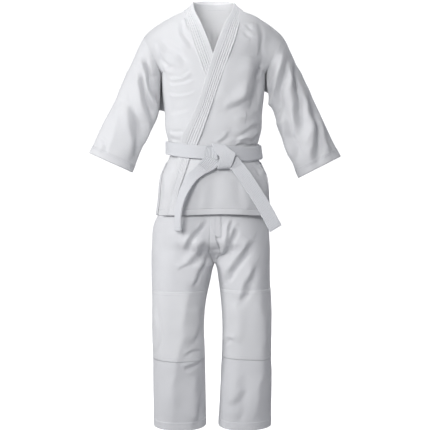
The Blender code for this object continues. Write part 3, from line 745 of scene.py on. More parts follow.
def build_web(side, blend):
    """The part of the gusset that spans from the sleeve to the jacket's side, set back under the arm."""
    rise = np.linspace(0, 1, 16)[:, None]
    across = np.linspace(0, 1, 14)[None]
    bottom = WEB_BOTTOM[side][0] + (WEB_BOTTOM[side][1] - WEB_BOTTOM[side][0]) * across
    bottom = bottom + 0.016 * np.sin(across * math.pi)
    low = bottom + (WEB_TOP - bottom) * rise
    sleeve_x = np.interp(low, *WEB_EDGE)
    x = WEB_INSIDE + (sleeve_x - WEB_INSIDE) * across
    y = 0.046 + 0.012 * np.sin(across * math.pi) + 0.002 * np.sin(low * 90)
    points = np.stack(np.broadcast_arrays(SIDE[side] * x, y, low), -1)
    if side == "right":
        points = points[:, ::-1]
    item = cloth(f"underarm_web_cloth_{side}", points, JACKET_CLOTH, thickness=0.0014)
    finish(item, blend)


def build_sleeve(side):
    """A sleeve with its hem, its gusset, the web under it and their stitches."""
    blend = sleeve_blend(side)
    places = np.linspace(0.0, SLEEVE_HEM, 116)[:, None]
    turns = np.linspace(0, 2 * math.pi, 121)[None, :-1]
    grid = sleeve_grid(side, places, turns)
    sleeve = cloth(f"sleeve_cloth_{side}", grid, JACKET_CLOTH, closed=True)
    finish(sleeve, blend, [f"sleeve_{side}"])

    places = np.linspace(SLEEVE_HEM - 0.004, 1.0, 12)[:, None]
    grid = sleeve_grid(side, places, turns, lift=0.0006)
    grid[0] -= 0.0012 * grid_normals(grid, True)[0]
    hem = cloth(f"sleeve_hem_cloth_{side}", grid, JACKET_CLOTH, thickness=0.0036, closed=True)
    finish(hem, blend, [f"sleeve_hem_{side}"])

    share = np.linspace(-1, 1, 17)[None]
    reach = np.linspace(0.015, GUSSET_REACH - 0.02, 34)[:, None]
    spread = GUSSET_ANGLE * (1 - reach / GUSSET_REACH) * share
    grid = sleeve_grid(side, reach, spread, lift=0.0010)
    gusset = cloth(f"underarm_gusset_cloth_{side}", grid, JACKET_CLOTH, thickness=0.0014)
    finish(gusset, blend, [f"underarm_gusset_{side}"])

    build_web(side, blend)
    stitches = Thread()
    for place in (SLEEVE_HEM + 0.006, SLEEVE_HEM + 0.018):
        line_places = np.array([place, place + 0.004])[:, None]
        ring = sleeve_grid(side, line_places, np.linspace(0, 2 * math.pi, 145)[None], lift=0.0015)
        stitches.row(ring[1], grid_normals(ring)[1])
    for edge in (-0.93, 0.93):
        spread = GUSSET_ANGLE * (1 - reach / GUSSET_REACH) * np.array([[edge, edge + 0.02]])
        line = sleeve_grid(side, reach, spread, lift=0.0011)
        stitches.row(line[:, 0], grid_normals(line)[:, 0])
    finish(stitches.make(f"sleeve_stitches_{side}", THREAD_PAINTED_SHADE), blend)


for side in SIDE:
    build_sleeve(side)


# ---------------------------------------------------------------- bands and collar

# Heights of the collar's seam and of its top edge at the back.
COLLAR_SEAM = 0.450
COLLAR_TOP = 0.4978
# The bands: thickness, stitched ribs, and how far each lies off the jacket's front.
BAND_THICK = 0.0058
BAND_ROWS = 5
BAND_LIFT = {"left": 0.0046, "right": -0.0040}
# The shares of the width between which the ribs lie, the grooves' depth and the stitches' depth.
RIB_START = 0.31
RIB_END = 0.985
RIB_DEPTH = 0.0024
STITCH_DEPTH = 0.0022
BAND_SECTION = ribbed_section(BAND_THICK, BAND_ROWS, RIB_START, RIB_END, RIB_DEPTH)


def band_line(side, count):
    """Outer and inner edge points of a band, from under the belt, up the chest, round the neck."""
    sign = SIDE[side]
    z = np.linspace(-0.030, 0.400, 15)
    lift = BAND_LIFT[side] * np.minimum(1.0, (0.46 - z) / 0.12)
    outer, outer_out = chest(smooth(BAND_OUTER, z - 0.010), z - 0.010)
    inner, inner_out = chest(smooth(BAND_INNER, z), z)
    outer = list(outer + outer_out * lift[:, None])
    inner = list(inner + inner_out * lift[:, None])
    outer += [np.array([0.0925, -0.050, 0.432]), np.array([0.0915, -0.014, 0.448])]
    inner += [np.array([0.0550, -0.066, 0.438]), np.array([0.0622, -0.022, 0.468])]
    for angle, top in ((25, 0.4835), (52, 0.4935), (75, COLLAR_TOP), (90.5, COLLAR_TOP)):
        turn = math.radians(angle)
        outer.append(np.array([COLLAR_HALF * math.cos(turn), COLLAR_DEPTH * math.sin(turn), COLLAR_SEAM]))
        inner.append(np.array([0.0682 * math.cos(turn), 0.0735 * math.sin(turn), top]))
    both = spline(np.hstack([np.array(outer), np.array(inner)]), count)
    flip = np.array([sign, 1, 1])
    return both[:, :3] * flip, both[:, 3:] * flip


def build_strip(side, outer, inner, body, name, sewn, node):
    """A band between its two edge lines, with a row of stitches in each groove."""
    across = outer - inner
    normals = unit(np.cross(across, np.gradient(inner, axis=0))) * SIDE[side]
    item = sweep(name, inner, across, normals, BAND_SECTION, BAND_CLOTH)
    finish(item, body, [node])
    stitches = Thread()
    for row in range(BAND_ROWS):
        share = RIB_START + (RIB_END - RIB_START) * row / BAND_ROWS
        line = inner + across * share + normals * (BAND_THICK - STITCH_DEPTH)
        stitches.row(line, normals, length=0.0050)
    finish(stitches.make(sewn, THREAD_PAINTED_SHADE), body)


def build_band(side):
    """The stitched band from the belt up a front's edge and round to the middle of the collar."""
    outer, inner = band_line(side, 170)
    build_strip(side, outer, inner, "upper_body", f"band_cloth_piece_{side}", f"band_stitches_{side}",
                f"jacket_band_{side}")


for side in SIDE:
    build_band(side)


# The lining's ring at the back of the neck: height, depth and half width.
LINING = [(0.270, 0.1030, 0.0885), (0.360, 0.0915, 0.0885), (0.450, 0.0800, 0.0840), (0.4880, 0.0738, 0.0715)]


def lining_points(z, turn):
    """Points of the lining at a height, turned from the middle of the back."""
    z, turn = np.broadcast_arrays(np.asarray(z, float), np.asarray(turn, float))
    return np.stack([smooth(LINING, z, 2) * np.sin(turn), smooth(LINING, z, 1) * np.cos(turn), z], -1)


def build_lining():
    """The lining inside the back of the neck, with its two short rows of stitches."""
    z = np.linspace(0.270, LINING[-1][0], 60)[:, None]
    turn = np.radians(np.linspace(70, -70, 60))[None]
    points = lining_points(z, turn)
    points[..., 1] += 0.0010 * ripple(points, 0.06, 51) * ease(0.44 - z, 0.0, 0.03)
    seam = np.exp(-((z - 0.4395) / 0.0016) ** 2) * ease(0.5 - np.abs(turn), 0.0, 0.06)
    points[..., 1] -= 0.0009 * seam
    item = cloth("yoke_lining_cloth", points, LINING_CLOTH_PAINTED_LIGHT, thickness=0.0010)
    finish(item, "upper_body", ["yoke_lining"])
    stitches = Thread()
    for height, first, last in ((0.4675, -14, 31), (0.4410, -4, 15)):
        line = lining_points(height, np.radians(np.linspace(first, last, 20)))
        line[:, 1] -= 0.0012
        stitches.row(line, np.tile([0.0, -1.0, 0.0], (20, 1)), radius=0.0005)
    finish(stitches.make("lining_stitches", THREAD_PAINTED_SHADE), "upper_body")


build_lining()


# ---------------------------------------------------------------- rings: skirt, belt, trousers

# Height, half width and half depth of the skirt.
SKIRT = [(-0.012, 0.1400, 0.106), (-0.034, 0.1500, 0.116), (-0.052, 0.158, 0.122), (-0.070, 0.1655, 0.127),
         (-0.090, 0.1695, 0.1290), (-0.147, 0.1745, 0.1285), (-0.205, 0.182, 0.1275)]
HEM_Z = -0.200
SKIRT_TOP = -0.012
# The vents' angle from the middle of the front, and the row of points that the hem's stitches follow.
VENT = 1.516
HEM_STITCHES = 12
SKIRT_FOLDS = [
    ([(0.120, -0.030), (0.138, -0.050), (0.150, -0.075)], 0.009, 0.0060),
    ([(0.150, -0.040), (0.160, -0.090), (0.166, -0.150)], 0.012, 0.0030, "ridge"),
    ([(0.030, -0.060), (0.036, -0.120), (0.030, -0.180)], 0.026, 0.0016, "ridge"),
    ([(0.085, -0.070), (0.096, -0.130), (0.104, -0.185)], 0.026, 0.0022),
    ([(-0.020, -0.090), (-0.028, -0.140), (-0.036, -0.190)], 0.020, 0.0020, "ridge"),
    ([(-0.145, -0.035), (-0.150, -0.080), (-0.158, -0.150)], 0.010, 0.0022, "ridge"),
]


def ring_points(table, z, angle, centre=0.0, lift=0.0, roundness=ROUND):
    """Points of a rounded ring: angle 0 at the front, growing towards the wearer's left."""
    width = smooth(table, z, 1) + lift
    depth = smooth(table, z, 2) + lift
    x = centre + width * power(np.sin(angle), 2 / roundness)
    y = -depth * power(np.cos(angle), 2 / roundness)
    return np.stack(np.broadcast_arrays(x, y, z), -1)


def ring_turn(table, z, x):
    """The angle of the front point at distance x."""
    return np.arcsin(power(np.clip(x / smooth(table, z, 1), -1, 1), ROUND / 2))


SKIRT_BLEND = ("upper_body", "front_skirt", (0, -0.112, -0.040), (0, -0.112, -0.115))
BACK_SKIRT_BLEND = ("upper_body", "back_skirt", (0, 0.085, -0.040), (0, 0.085, -0.115))


def skirt_rows():
    """Heights of the skirt's rows, close together at the hem's stitches."""
    hem = np.linspace(HEM_Z, HEM_Z + 0.026, 18)
    return np.concatenate([hem, np.linspace(HEM_Z + 0.030, SKIRT_TOP, 46)])[:, None]


def skirt_lap(angle):
    """The left front's lift over the right one, which fades out at the vent."""
    return LAP * ease(1.45 - angle, 0.0, 0.5)


def hem_groove(points):
    """Sinks the line that the hem's stitches lie in."""
    gap = (points[..., 2] - (HEM_Z + 0.017)) / 0.0016
    return points - grid_normals(points) * (0.0012 * np.exp(-gap**2))[..., None]


def skirt_shape(points, seed, facing=-1.0, strokes=SKIRT_FOLDS):
    """The skirt's folds and unevenness, which begin below the belt."""
    normals = grid_normals(points)
    hang = ease(-points[..., 2], 0.035, 0.09)
    height = folds(points, normals, strokes, facing, seed=seed) * hang
    height = height + 0.0016 * ripple(points, 0.085, seed + 5, (1, 1, 2.5)) * hang
    return points + normals * height[..., None]


def skirt_piece(name, points, body, node, sewn):
    """A hemmed piece of the skirt and its hem's stitches."""
    item = cloth(name, points, JACKET_CLOTH, thickness=0.0020)
    finish(item, body, [node])
    stitches = Thread()
    stitches.row(points[HEM_STITCHES], grid_normals(points)[HEM_STITCHES])
    finish(stitches.make(sewn, THREAD_PAINTED_SHADE), body)


def build_skirt():
    """The jacket below the belt: two fronts, the left one over the right, and one back."""
    z = skirt_rows()
    for side in SIDE:
        first = ring_turn(SKIRT, z, smooth(SKIRT_OUTER, z)) - 0.05
        angle = first + (VENT - first) * np.linspace(0, 1, 90)[None]
        lift = skirt_lap(angle) if side == "left" else 0.0 * angle
        points = ring_points(SKIRT, z + 0 * angle, angle, 0.0, lift)
        points[..., 0] *= SIDE[side]
        if side == "right":
            points = points[:, ::-1]
        points = hem_groove(skirt_shape(points, 61 if side == "left" else 71))
        points[..., 2] += 0.0020 * np.sin(points[..., 0] * 21 + 1.0) * ease(-points[..., 2], 0.12, 0.2)
        skirt_piece(f"skirt_front_cloth_{side}", points, SKIRT_BLEND, f"skirt_front_{side}",
                    f"skirt_hem_stitches_{side}")
    angle = np.linspace(math.pi - VENT, math.pi + VENT, 150)[None]
    strokes = [([(x, -0.05), (x * 1.06, -0.12), (x * 1.12, -0.19)], 0.020, 0.0035, "ridge")
               for x in (-0.13, -0.075, -0.01, 0.06, 0.12)]
    points = skirt_shape(ring_points(SKIRT, z + 0 * angle, angle + 0 * z), 81, 1.0, strokes)
    skirt_piece("skirt_back_cloth", hem_groove(points), BACK_SKIRT_BLEND, "skirt_back", "skirt_back_stitches")


build_skirt()


def build_skirt_band(side):
    """The stitched band that runs on down the front edge of the skirt."""
    z = np.linspace(HEM_Z - 0.002, SKIRT_TOP, 70)
    lift = BAND_LIFT[side]
    ends = []
    for table in (SKIRT_OUTER, SKIRT_INNER):
        turn = ring_turn(SKIRT, z, smooth(table, z))
        points = ring_points(SKIRT, z, turn, 0.0, lift)
        hang = ease(-z, 0.035, 0.09)
        points[:, 1] -= 0.0016 * ripple(points, 0.085, 66, (1, 1, 2.5)) * hang
        points[:, 0] *= SIDE[side]
        ends.append(points)
    build_strip(side, *ends, SKIRT_BLEND, f"skirt_band_cloth_{side}", f"skirt_band_stitches_{side}",
                f"skirt_band_{side}")


for side in SIDE:
    build_skirt_band(side)


def build_vents():
    """Reinforcing patches beside the side vents, with a row of stitches down each long edge."""
    z = np.linspace(HEM_Z + 0.001, SKIRT_TOP - 0.02, 46)[:, None]
    places = {
        "front_left": (1.30, VENT - 0.006, SKIRT_BLEND),
        "front_right": (-VENT + 0.006, -1.30, SKIRT_BLEND),
        "back_left": (math.pi - VENT + 0.006, math.pi - 1.30, BACK_SKIRT_BLEND),
        "back_right": (math.pi + 1.30, math.pi + VENT - 0.006, BACK_SKIRT_BLEND),
    }
    for name, (first, last, blend) in places.items():
        angle = np.linspace(first, last, 18)[None]
        own = skirt_lap(angle) if name == "front_left" else 0 * angle
        points = ring_points(SKIRT, z + 0 * angle, angle + 0 * z, 0.0, 0.0029 + own)
        points = skirt_shape(points, 61 if name == "front_left" else 71)
        item = cloth(f"vent_patch_cloth_{name}", points, JACKET_CLOTH, thickness=0.0016)
        finish(item, blend, [f"vent_patch_{name}"])
        stitches = Thread()
        normals = grid_normals(points)
        for column in (1, 16):
            stitches.row(points[:, column], normals[:, column])
        finish(stitches.make(f"vent_stitches_{name}", THREAD_PAINTED_SHADE), blend)


build_vents()


# ---------------------------------------------------------------- trousers

# Height, half width, half depth and roundness of the hips.
HIPS = [(-0.380, 0.189, 0.126, 3.2), (-0.330, 0.189, 0.1255, 3.0), (-0.280, 0.187, 0.125, 2.8),
        (-0.230, 0.182, 0.122, 2.4), (-0.195, 0.168, 0.115, 2.3), (-0.120, 0.154, 0.108, 2.3),
        (-0.060, 0.142, 0.100, 2.3), (0.030, 0.134, 0.093, 2.3)]
# Height of a leg's rows, the inner and the outer seam's distance out, and half depth.
LEGS = {
    "left": [(-0.344, 0.0055, 0.180, 0.120), (-0.370, 0.0110, 0.180, 0.118), (-0.405, 0.0160, 0.180, 0.117),
             (-0.474, 0.024, 0.182, 0.113), (-0.550, 0.029, 0.184, 0.107), (-0.620, 0.029, 0.184, 0.101),
             (-0.700, 0.025, 0.184, 0.096), (-0.800, 0.019, 0.184, 0.088), (-0.882, 0.015, 0.182, 0.084)],
    "right": [(-0.344, -0.0035, 0.198, 0.120), (-0.370, 0.0025, 0.198, 0.118), (-0.405, 0.0095, 0.198, 0.117),
              (-0.474, 0.024, 0.196, 0.113), (-0.550, 0.030, 0.194, 0.107), (-0.620, 0.028, 0.193, 0.101),
              (-0.700, 0.026, 0.193, 0.096), (-0.800, 0.024, 0.192, 0.088), (-0.882, 0.0235, 0.190, 0.084)],
}
# Heights of the top of a leg's hem, its lower edge, and the crotch.
LEG_HEM = -0.852
LEG_END = -0.873
CROTCH = -0.350
# How much higher each knee patch lies than the lowest place for it.
PATCH_RISE = {"left": 0.012, "right": 0.007}
TROUSER_FOLDS = [
    ([(-0.094, -0.310), (-0.062, -0.262), (-0.020, -0.206)], 0.013, 0.0060),
    ([(-0.082, -0.362), (-0.050, -0.318), (-0.006, -0.262)], 0.014, 0.0065),
    ([(-0.062, -0.430), (-0.046, -0.375), (-0.022, -0.320)], 0.013, 0.0050),
    ([(-0.110, -0.372), (-0.095, -0.362), (-0.072, -0.352)], 0.008, 0.0022),
    ([(-0.130, -0.235), (-0.120, -0.290), (-0.125, -0.350)], 0.022, 0.0022, "ridge"),
    ([(-0.078, -0.400), (-0.090, -0.500), (-0.104, -0.600), (-0.124, -0.720), (-0.124, -0.868)],
     0.034, 0.0090, "crest"),
    ([(-0.074, -0.600), (-0.052, -0.545), (-0.046, -0.480)], 0.016, 0.0040),
    ([(-0.100, -0.676), (-0.070, -0.668), (-0.040, -0.652)], 0.012, 0.0032),
    ([(-0.088, -0.640), (-0.066, -0.622), (-0.044, -0.618)], 0.009, 0.0028),
    ([(-0.062, -0.860), (-0.050, -0.790), (-0.048, -0.700)], 0.020, 0.0050),
    ([(-0.178, -0.640), (-0.168, -0.560), (-0.182, -0.480)], 0.010, 0.0022),
    ([(0.022, -0.330), (0.048, -0.285), (0.072, -0.236)], 0.013, 0.0055),
    ([(0.035, -0.402), (0.075, -0.345), (0.122, -0.275)], 0.016, 0.0068),
    ([(0.082, -0.470), (0.108, -0.410), (0.136, -0.350)], 0.016, 0.0055),
    ([(0.034, -0.292), (0.044, -0.262), (0.050, -0.215)], 0.010, 0.0035),
    ([(0.0105, -0.276), (0.0215, -0.308), (0.0200, -0.322), (0.0060, -0.350)], 0.006, 0.0034),
    ([(-0.012, -0.208), (-0.010, -0.235), (-0.006, -0.262)], 0.007, 0.0034),
    ([(0.140, -0.400), (0.154, -0.560), (0.148, -0.700), (0.122, -0.860)], 0.028, 0.0070, "crest"),
    ([(0.070, -0.600), (0.078, -0.540), (0.068, -0.470)], 0.020, 0.0030, "ridge"),
    ([(0.042, -0.795), (0.070, -0.780), (0.096, -0.735)], 0.018, 0.0018),
    ([(0.036, -0.600), (0.048, -0.585), (0.062, -0.590)], 0.010, 0.0025),
    ([(0.060, -0.860), (0.076, -0.790), (0.084, -0.690)], 0.026, 0.0026),
]
TROUSER_BACK_FOLDS = [
    ([(sign * 0.020, -0.320), (sign * 0.070, -0.350), (sign * 0.130, -0.340)], 0.020, 0.0042)
    for sign in (-1, 1)
] + [
    ([(sign * 0.045, -0.385), (sign * 0.090, -0.405), (sign * 0.150, -0.395)], 0.018, 0.0034)
    for sign in (-1, 1)
] + [
    ([(sign * x, -0.45), (sign * (x + 0.008), -0.60), (sign * x, -0.80)], 0.028, 0.0034)
    for sign in (-1, 1) for x in (0.060, 0.135)
] + [
    ([(sign * 0.060, -0.565), (sign * 0.105, -0.580), (sign * 0.150, -0.568)], 0.016, 0.0026)
    for sign in (-1, 1)
] + [
    ([(sign * 0.100, -0.20), (sign * 0.095, -0.27), (sign * 0.110, -0.33)], 0.026, 0.0030, "ridge")
    for sign in (-1, 1)
]


def trouser_split(z):
    """0 where the trousers are one tube round the hips, 1 where they are two legs."""
    return ease(-z, 0.280, -CROTCH + 0.012)


def trouser_points(side, z, share, back=False, lift=0.0):
    """Points of half a trouser leg's surface and of the hips above it. Share runs from the inner
    seam, 0, to the outer seam, 1, over the front or over the back."""
    z, share = np.broadcast_arrays(np.asarray(z, float), np.asarray(share, float))
    turn = share * math.pi
    roundness = smooth(HIPS, z, 3)
    hip_angle = share * math.pi / 2
    centre = -0.008 * ease(-z, 0.05, 0.20) * SIDE[side]
    hip_x = centre + (smooth(HIPS, z, 1) + lift) * power(np.sin(hip_angle), 2 / roundness)
    hip_y = (smooth(HIPS, z, 2) + lift) * power(np.cos(hip_angle), 2 / roundness)
    seam = centre + 0.0120 * SIDE[side] * ease(-z, 0.284, 0.356)
    parted = ease(-z, 0.344, 0.369)
    inner = seam * (1 - parted) + (smooth(LEGS[side], z, 1) - lift) * parted
    outer = smooth(LEGS[side], z, 2) + lift
    leg_x = (inner + outer) / 2 - (outer - inner) / 2 * power(np.cos(turn), 2 / 2.5)
    leg_y = (smooth(LEGS[side], z, 3) + lift) * np.abs(power(np.sin(turn), 2 / 2.5))
    split = trouser_split(z)
    x = np.maximum(hip_x, seam) * (1 - split) + leg_x * split
    y = hip_y * (1 - split) + leg_y * split
    return np.stack([SIDE[side] * x, y if back else -y, z], -1)


def trouser_grid(side, z, share, back=False, lift=0.0):
    """A patch of the trousers with its folds: rows upwards, columns anticlockwise seen from above."""
    points = trouser_points(side, z, share, back, lift)
    edge = np.minimum(share, 1 - share) + 0 * np.asarray(z)
    if (side == "left") == back:
        points, edge = points[:, ::-1], edge[:, ::-1]
    normals = grid_normals(points)
    strokes = TROUSER_BACK_FOLDS if back else TROUSER_FOLDS
    height = folds(points, normals, strokes, 1.0 if back else -1.0, seed=17)
    height = height + 0.0020 * ripple(points, 0.10, 91 + int(back), (1, 1, 1.9))
    hang = ease(-points[..., 2], 0.17, 0.24)
    height = height * hang * (0.15 + 0.85 * ease(edge, 0.0, 0.10))
    return points + normals * height[..., None]


def hem_rise(share):
    """How much higher the hem is at the seams than at the middle of the front or back."""
    return 0.009 * (1 - np.sin(share * math.pi)) ** 1.2


def leg_blend(side):
    """The two bodies that a leg joins, and the stretch over which it passes between them."""
    x = SIDE[side] * 0.1
    return ("upper_body", f"{side}_leg", (x, 0.006, -0.362), (x, 0.006, -0.512))


def build_trousers():
    """Front and back of each leg up to the waist, with its knee patch, its hem and their stitches."""
    share = np.linspace(0.0, 1.0, 88)[None]
    rows = np.linspace(0, 1, 220)[:, None]
    bottom = LEG_HEM + hem_rise(share)
    z = bottom + (-0.012 - bottom) * rows
    for side in SIDE:
        blend = leg_blend(side)
        for back in (False, True):
            face = "back" if back else "front"
            grid = trouser_grid(side, z, share, back)
            item = cloth(f"trouser_{face}_cloth_{side}", grid, TROUSER_CLOTH)
            finish(item, blend, [f"trouser_{face}_{side}", f"leg_{face}_{side}"])
        stitches = Thread()
        patch_z = np.linspace(-0.660, -0.442, 60)[:, None] + PATCH_RISE[side]
        patch_share = np.linspace(0.045, 0.955, 70)[None]
        dip = 0.004 * np.cos((patch_share - 0.5) * math.pi)
        tall = patch_z - dip
        up = np.linspace(0, 1, 60)[:, None]
        border = np.minimum(ease(up * (1 - up), 0.0, 0.03),
                            ease(patch_share * (1 - patch_share), 0.043, 0.060))
        grid = trouser_grid(side, tall, patch_share, lift=0.0002 + 0.0009 * border)
        patch = cloth(f"knee_patch_cloth_{side}", grid, PATCH_CLOTH, thickness=0.0014)
        finish(patch, blend, [f"knee_patch_{side}"])
        normals = grid_normals(grid)
        for row in (1, 3, -4, -2):
            stitches.row(grid[row], normals[row])
        for column in (1, -2):
            stitches.row(grid[:, column], normals[:, column])
        turn = np.linspace(0, 1, 60)[None]
        hem_z = np.linspace(LEG_END, LEG_HEM + 0.003, 12)[:, None] + hem_rise(turn)
        ring = [trouser_grid(side, hem_z, turn, back, lift=0.0008) for back in (False, True)]
        closed = np.concatenate([ring[0][:, :-1], ring[1][:, :-1]], axis=1)
        hem = cloth(f"leg_hem_cloth_{side}", closed, TROUSER_CLOTH, thickness=0.0034, closed=True)
        finish(hem, blend, [f"leg_hem_{side}"])
        normals = grid_normals(closed, True)
        whole = [*range(closed.shape[1]), 0]
        stitches.row(closed[-3, whole], normals[-3, whole])
        finish(stitches.make(f"leg_stitches_{side}", THREAD_PAINTED_SHADE), blend)


build_trousers()


def trouser_surface(x, z, facing, lift):
    """Points just off the trousers' front or back, with their folds, at given distances and heights."""
    x, z, facing = np.broadcast_arrays(x, z, facing)
    found = np.stack([x, 0 * x, z], -1)
    share = np.linspace(0.0, 0.6, 60)[None]
    tall = np.linspace(z.min() - 0.01, z.max() + 0.01, 60)[:, None]
    for back in (False, True):
        for side in SIDE:
            grid = trouser_grid(side, tall, share, back, lift)
            rows = np.clip(np.searchsorted(grid[:, 0, 2], z), 1, len(tall) - 1)
            for i, j in zip(*np.nonzero((facing > 0) == back)):
                line = grid[rows[i, j]]
                line = line[np.argsort(line[:, 0])]
                if line[0, 0] <= x[i, j] <= line[-1, 0]:
                    found[i, j, 1] = np.interp(x[i, j], line[:, 0], line[:, 1])
    return found


def build_waist():
    """The gathered casing of the waist, its loop, and the strip of the gusset at the crotch."""
    z = np.linspace(-0.012, 0.028, 14)[:, None]
    angle = np.linspace(0, 2 * math.pi, 361)[None, :-1]
    gather = 0.0013 * np.sin(angle * 90 + 2 * np.sin(angle * 7)) * np.sin((z + 0.012) / 0.040 * math.pi)
    points = ring_points(HIPS, z + 0 * angle, angle + 0 * z, 0.0, 0.0008 + gather)
    item = cloth("waistband_cloth", points, TROUSER_CLOTH, thickness=0.0034, closed=True)
    finish(item, "upper_body", ["waistband"])
    x = np.linspace(-0.006, 0.006, 7)[None]
    z = np.linspace(-0.008, 0.026, 16)[:, None]
    bow = 0.0022 * np.sin((z + 0.008) / 0.034 * math.pi)
    points = ring_points(HIPS, z + 0 * x, ring_turn(HIPS, z, x), 0.0, 0.0050 + bow)
    item = cloth("drawstring_loop_cloth", points, TROUSER_CLOTH, thickness=0.0014)
    finish(item, "upper_body", ["drawstring_loop"])
    front = spline([(-0.0020, -0.262, 0.0090), (-0.0015, -0.277, 0.0098), (0.0044, -0.309, 0.0166),
                    (0.0044, -0.319, 0.0156), (0.0036, -0.338, 0.0072), (0.0045, -0.352, 0.0030)], 44)
    rear = spline([(0.0045, -0.352, 0.0030), (-0.0010, -0.325, 0.0050), (-0.0080, -0.285, 0.0030)], 30)[1:]
    centre = np.vstack([front, rear])
    facing = np.concatenate([np.full(len(front), -1.0), np.full(len(rear), 1.0)])
    half = centre[:, 2]
    share = np.linspace(-1, 1, 9)[None]
    x = centre[:, :1] + share * half[:, None]
    z = centre[:, 1:2] + 0 * share
    points = trouser_surface(x, z, facing[:, None], 0.0018)
    ahead = slice(0, len(front) - 1)
    bridge = points[ahead, :1, 1] + (points[ahead, -1:, 1] - points[ahead, :1, 1]) * (share + 1) / 2
    points[ahead, :, 1] = np.minimum(points[ahead, :, 1], bridge)
    points[len(front) - 1, :, 1] = 0.0
    item = cloth("crotch_gusset_cloth", points, TROUSER_CLOTH, thickness=0.0020)
    finish(item, "upper_body", ["crotch_gusset"])
    x = np.linspace(-0.0105, 0.0235, 22)[None]
    z = np.linspace(-0.268, -0.180, 40)[:, None] - 0.0016 * np.cos((x - 0.0125) / 0.011 * math.pi / 2)
    points = trouser_surface(x + 0 * z, z + 0 * x, -1.0, 0.0012)
    item = cloth("fly_cloth", points, TROUSER_CLOTH, thickness=0.0014)
    finish(item, "upper_body")
    stitches = Thread()
    normals = grid_normals(points)
    for column in (8, 10, -4, -2):
        stitches.row(points[:, column], normals[:, column])
    stitches.row(points[1], normals[1])
    finish(stitches.make("fly_stitches", THREAD_PAINTED_SHADE), "upper_body")


build_waist()


# ---------------------------------------------------------------- belt

# The belt, and the section with deeper grooves that its strands have at the knot.
BELT_WIDTH = 0.042
BELT_THICK = 0.0044
BELT_ROWS = 9
BELT_SECTION = ribbed_section(BELT_THICK, BELT_ROWS, 0.04, 0.96, 0.0008, round_end=0.03, count=6)
KNOT_SECTION = ribbed_section(BELT_THICK, 8, 0.06, 0.94, 0.0022, round_end=0.03, count=8)


def belt_height(angle):
    """The belt's middle line: level behind, and lower in front."""
    return 0.014 - 0.020 * np.maximum(0, np.cos(angle)) ** 2


def front_stack(angle):
    """How much further out the belt lies over the lapped fronts."""
    return 0.0150 * np.maximum(0, np.cos(angle)) ** 0.5


def build_wrap(name, lift, start, end, drop, node):
    """One turn of the belt. Its ends are in degrees from the middle of the front, under the knot, and
    its drop is how far it sags on the wearer's left."""
    angle = np.linspace(math.radians(start), math.radians(end), 240)
    z = belt_height(angle) - drop * ease(np.sin(angle), 0.1, 0.7) * ease(-np.cos(angle), 0.6, -0.2)
    ends = []
    for edge in (-BELT_WIDTH / 2, BELT_WIDTH / 2):
        points = ring_points(JACKET, z, angle, 0.0, lift - 0.0040 + front_stack(angle))
        points[:, 2] = z + edge
        skirt = ring_points(SKIRT, np.minimum(z + edge, SKIRT_TOP), angle, 0.0, lift)
        outside = np.hypot(skirt[:, 0], skirt[:, 1]) > np.hypot(points[:, 0], points[:, 1])
        points[:, :2] = np.where((outside & (z + edge < SKIRT_TOP))[:, None], skirt[:, :2], points[:, :2])
        ends.append(points)
    low, high = ends
    across = high - low
    normals = unit(np.cross(np.gradient(low, axis=0), across))
    wave = 0.0006 * np.sin(angle * 9 + lift * 900)
    item = sweep(name, low + normals * wave[:, None], across, normals, BELT_SECTION, BELT_CLOTH)
    finish(item, "upper_body", [node])


build_wrap("belt_inner_cloth", 0.0068, 5, 364, 0.0165, "belt_inner_wrap")
build_wrap("belt_outer_cloth", 0.0118, 7, 366, 0.0130, "belt_outer_wrap")

# How far in front of the middle the wraps' outer face lies, where the knot sits on it.
BELT_FACE = 0.1320


def strand(name, body, left, right, node, count, section=BELT_SECTION):
    """A stretch of belt between its two edge lines, each a short list of points."""
    edges = spline(np.hstack([np.array(left, float), np.array(right, float)]), count)
    first, second = edges[:, :3], edges[:, 3:]
    across = second - first
    normals = unit(np.cross(np.gradient(first, axis=0), across))
    item = sweep(name, first, across, normals, section, BELT_CLOTH)
    finish(item, body, [node])
    return first, across, normals


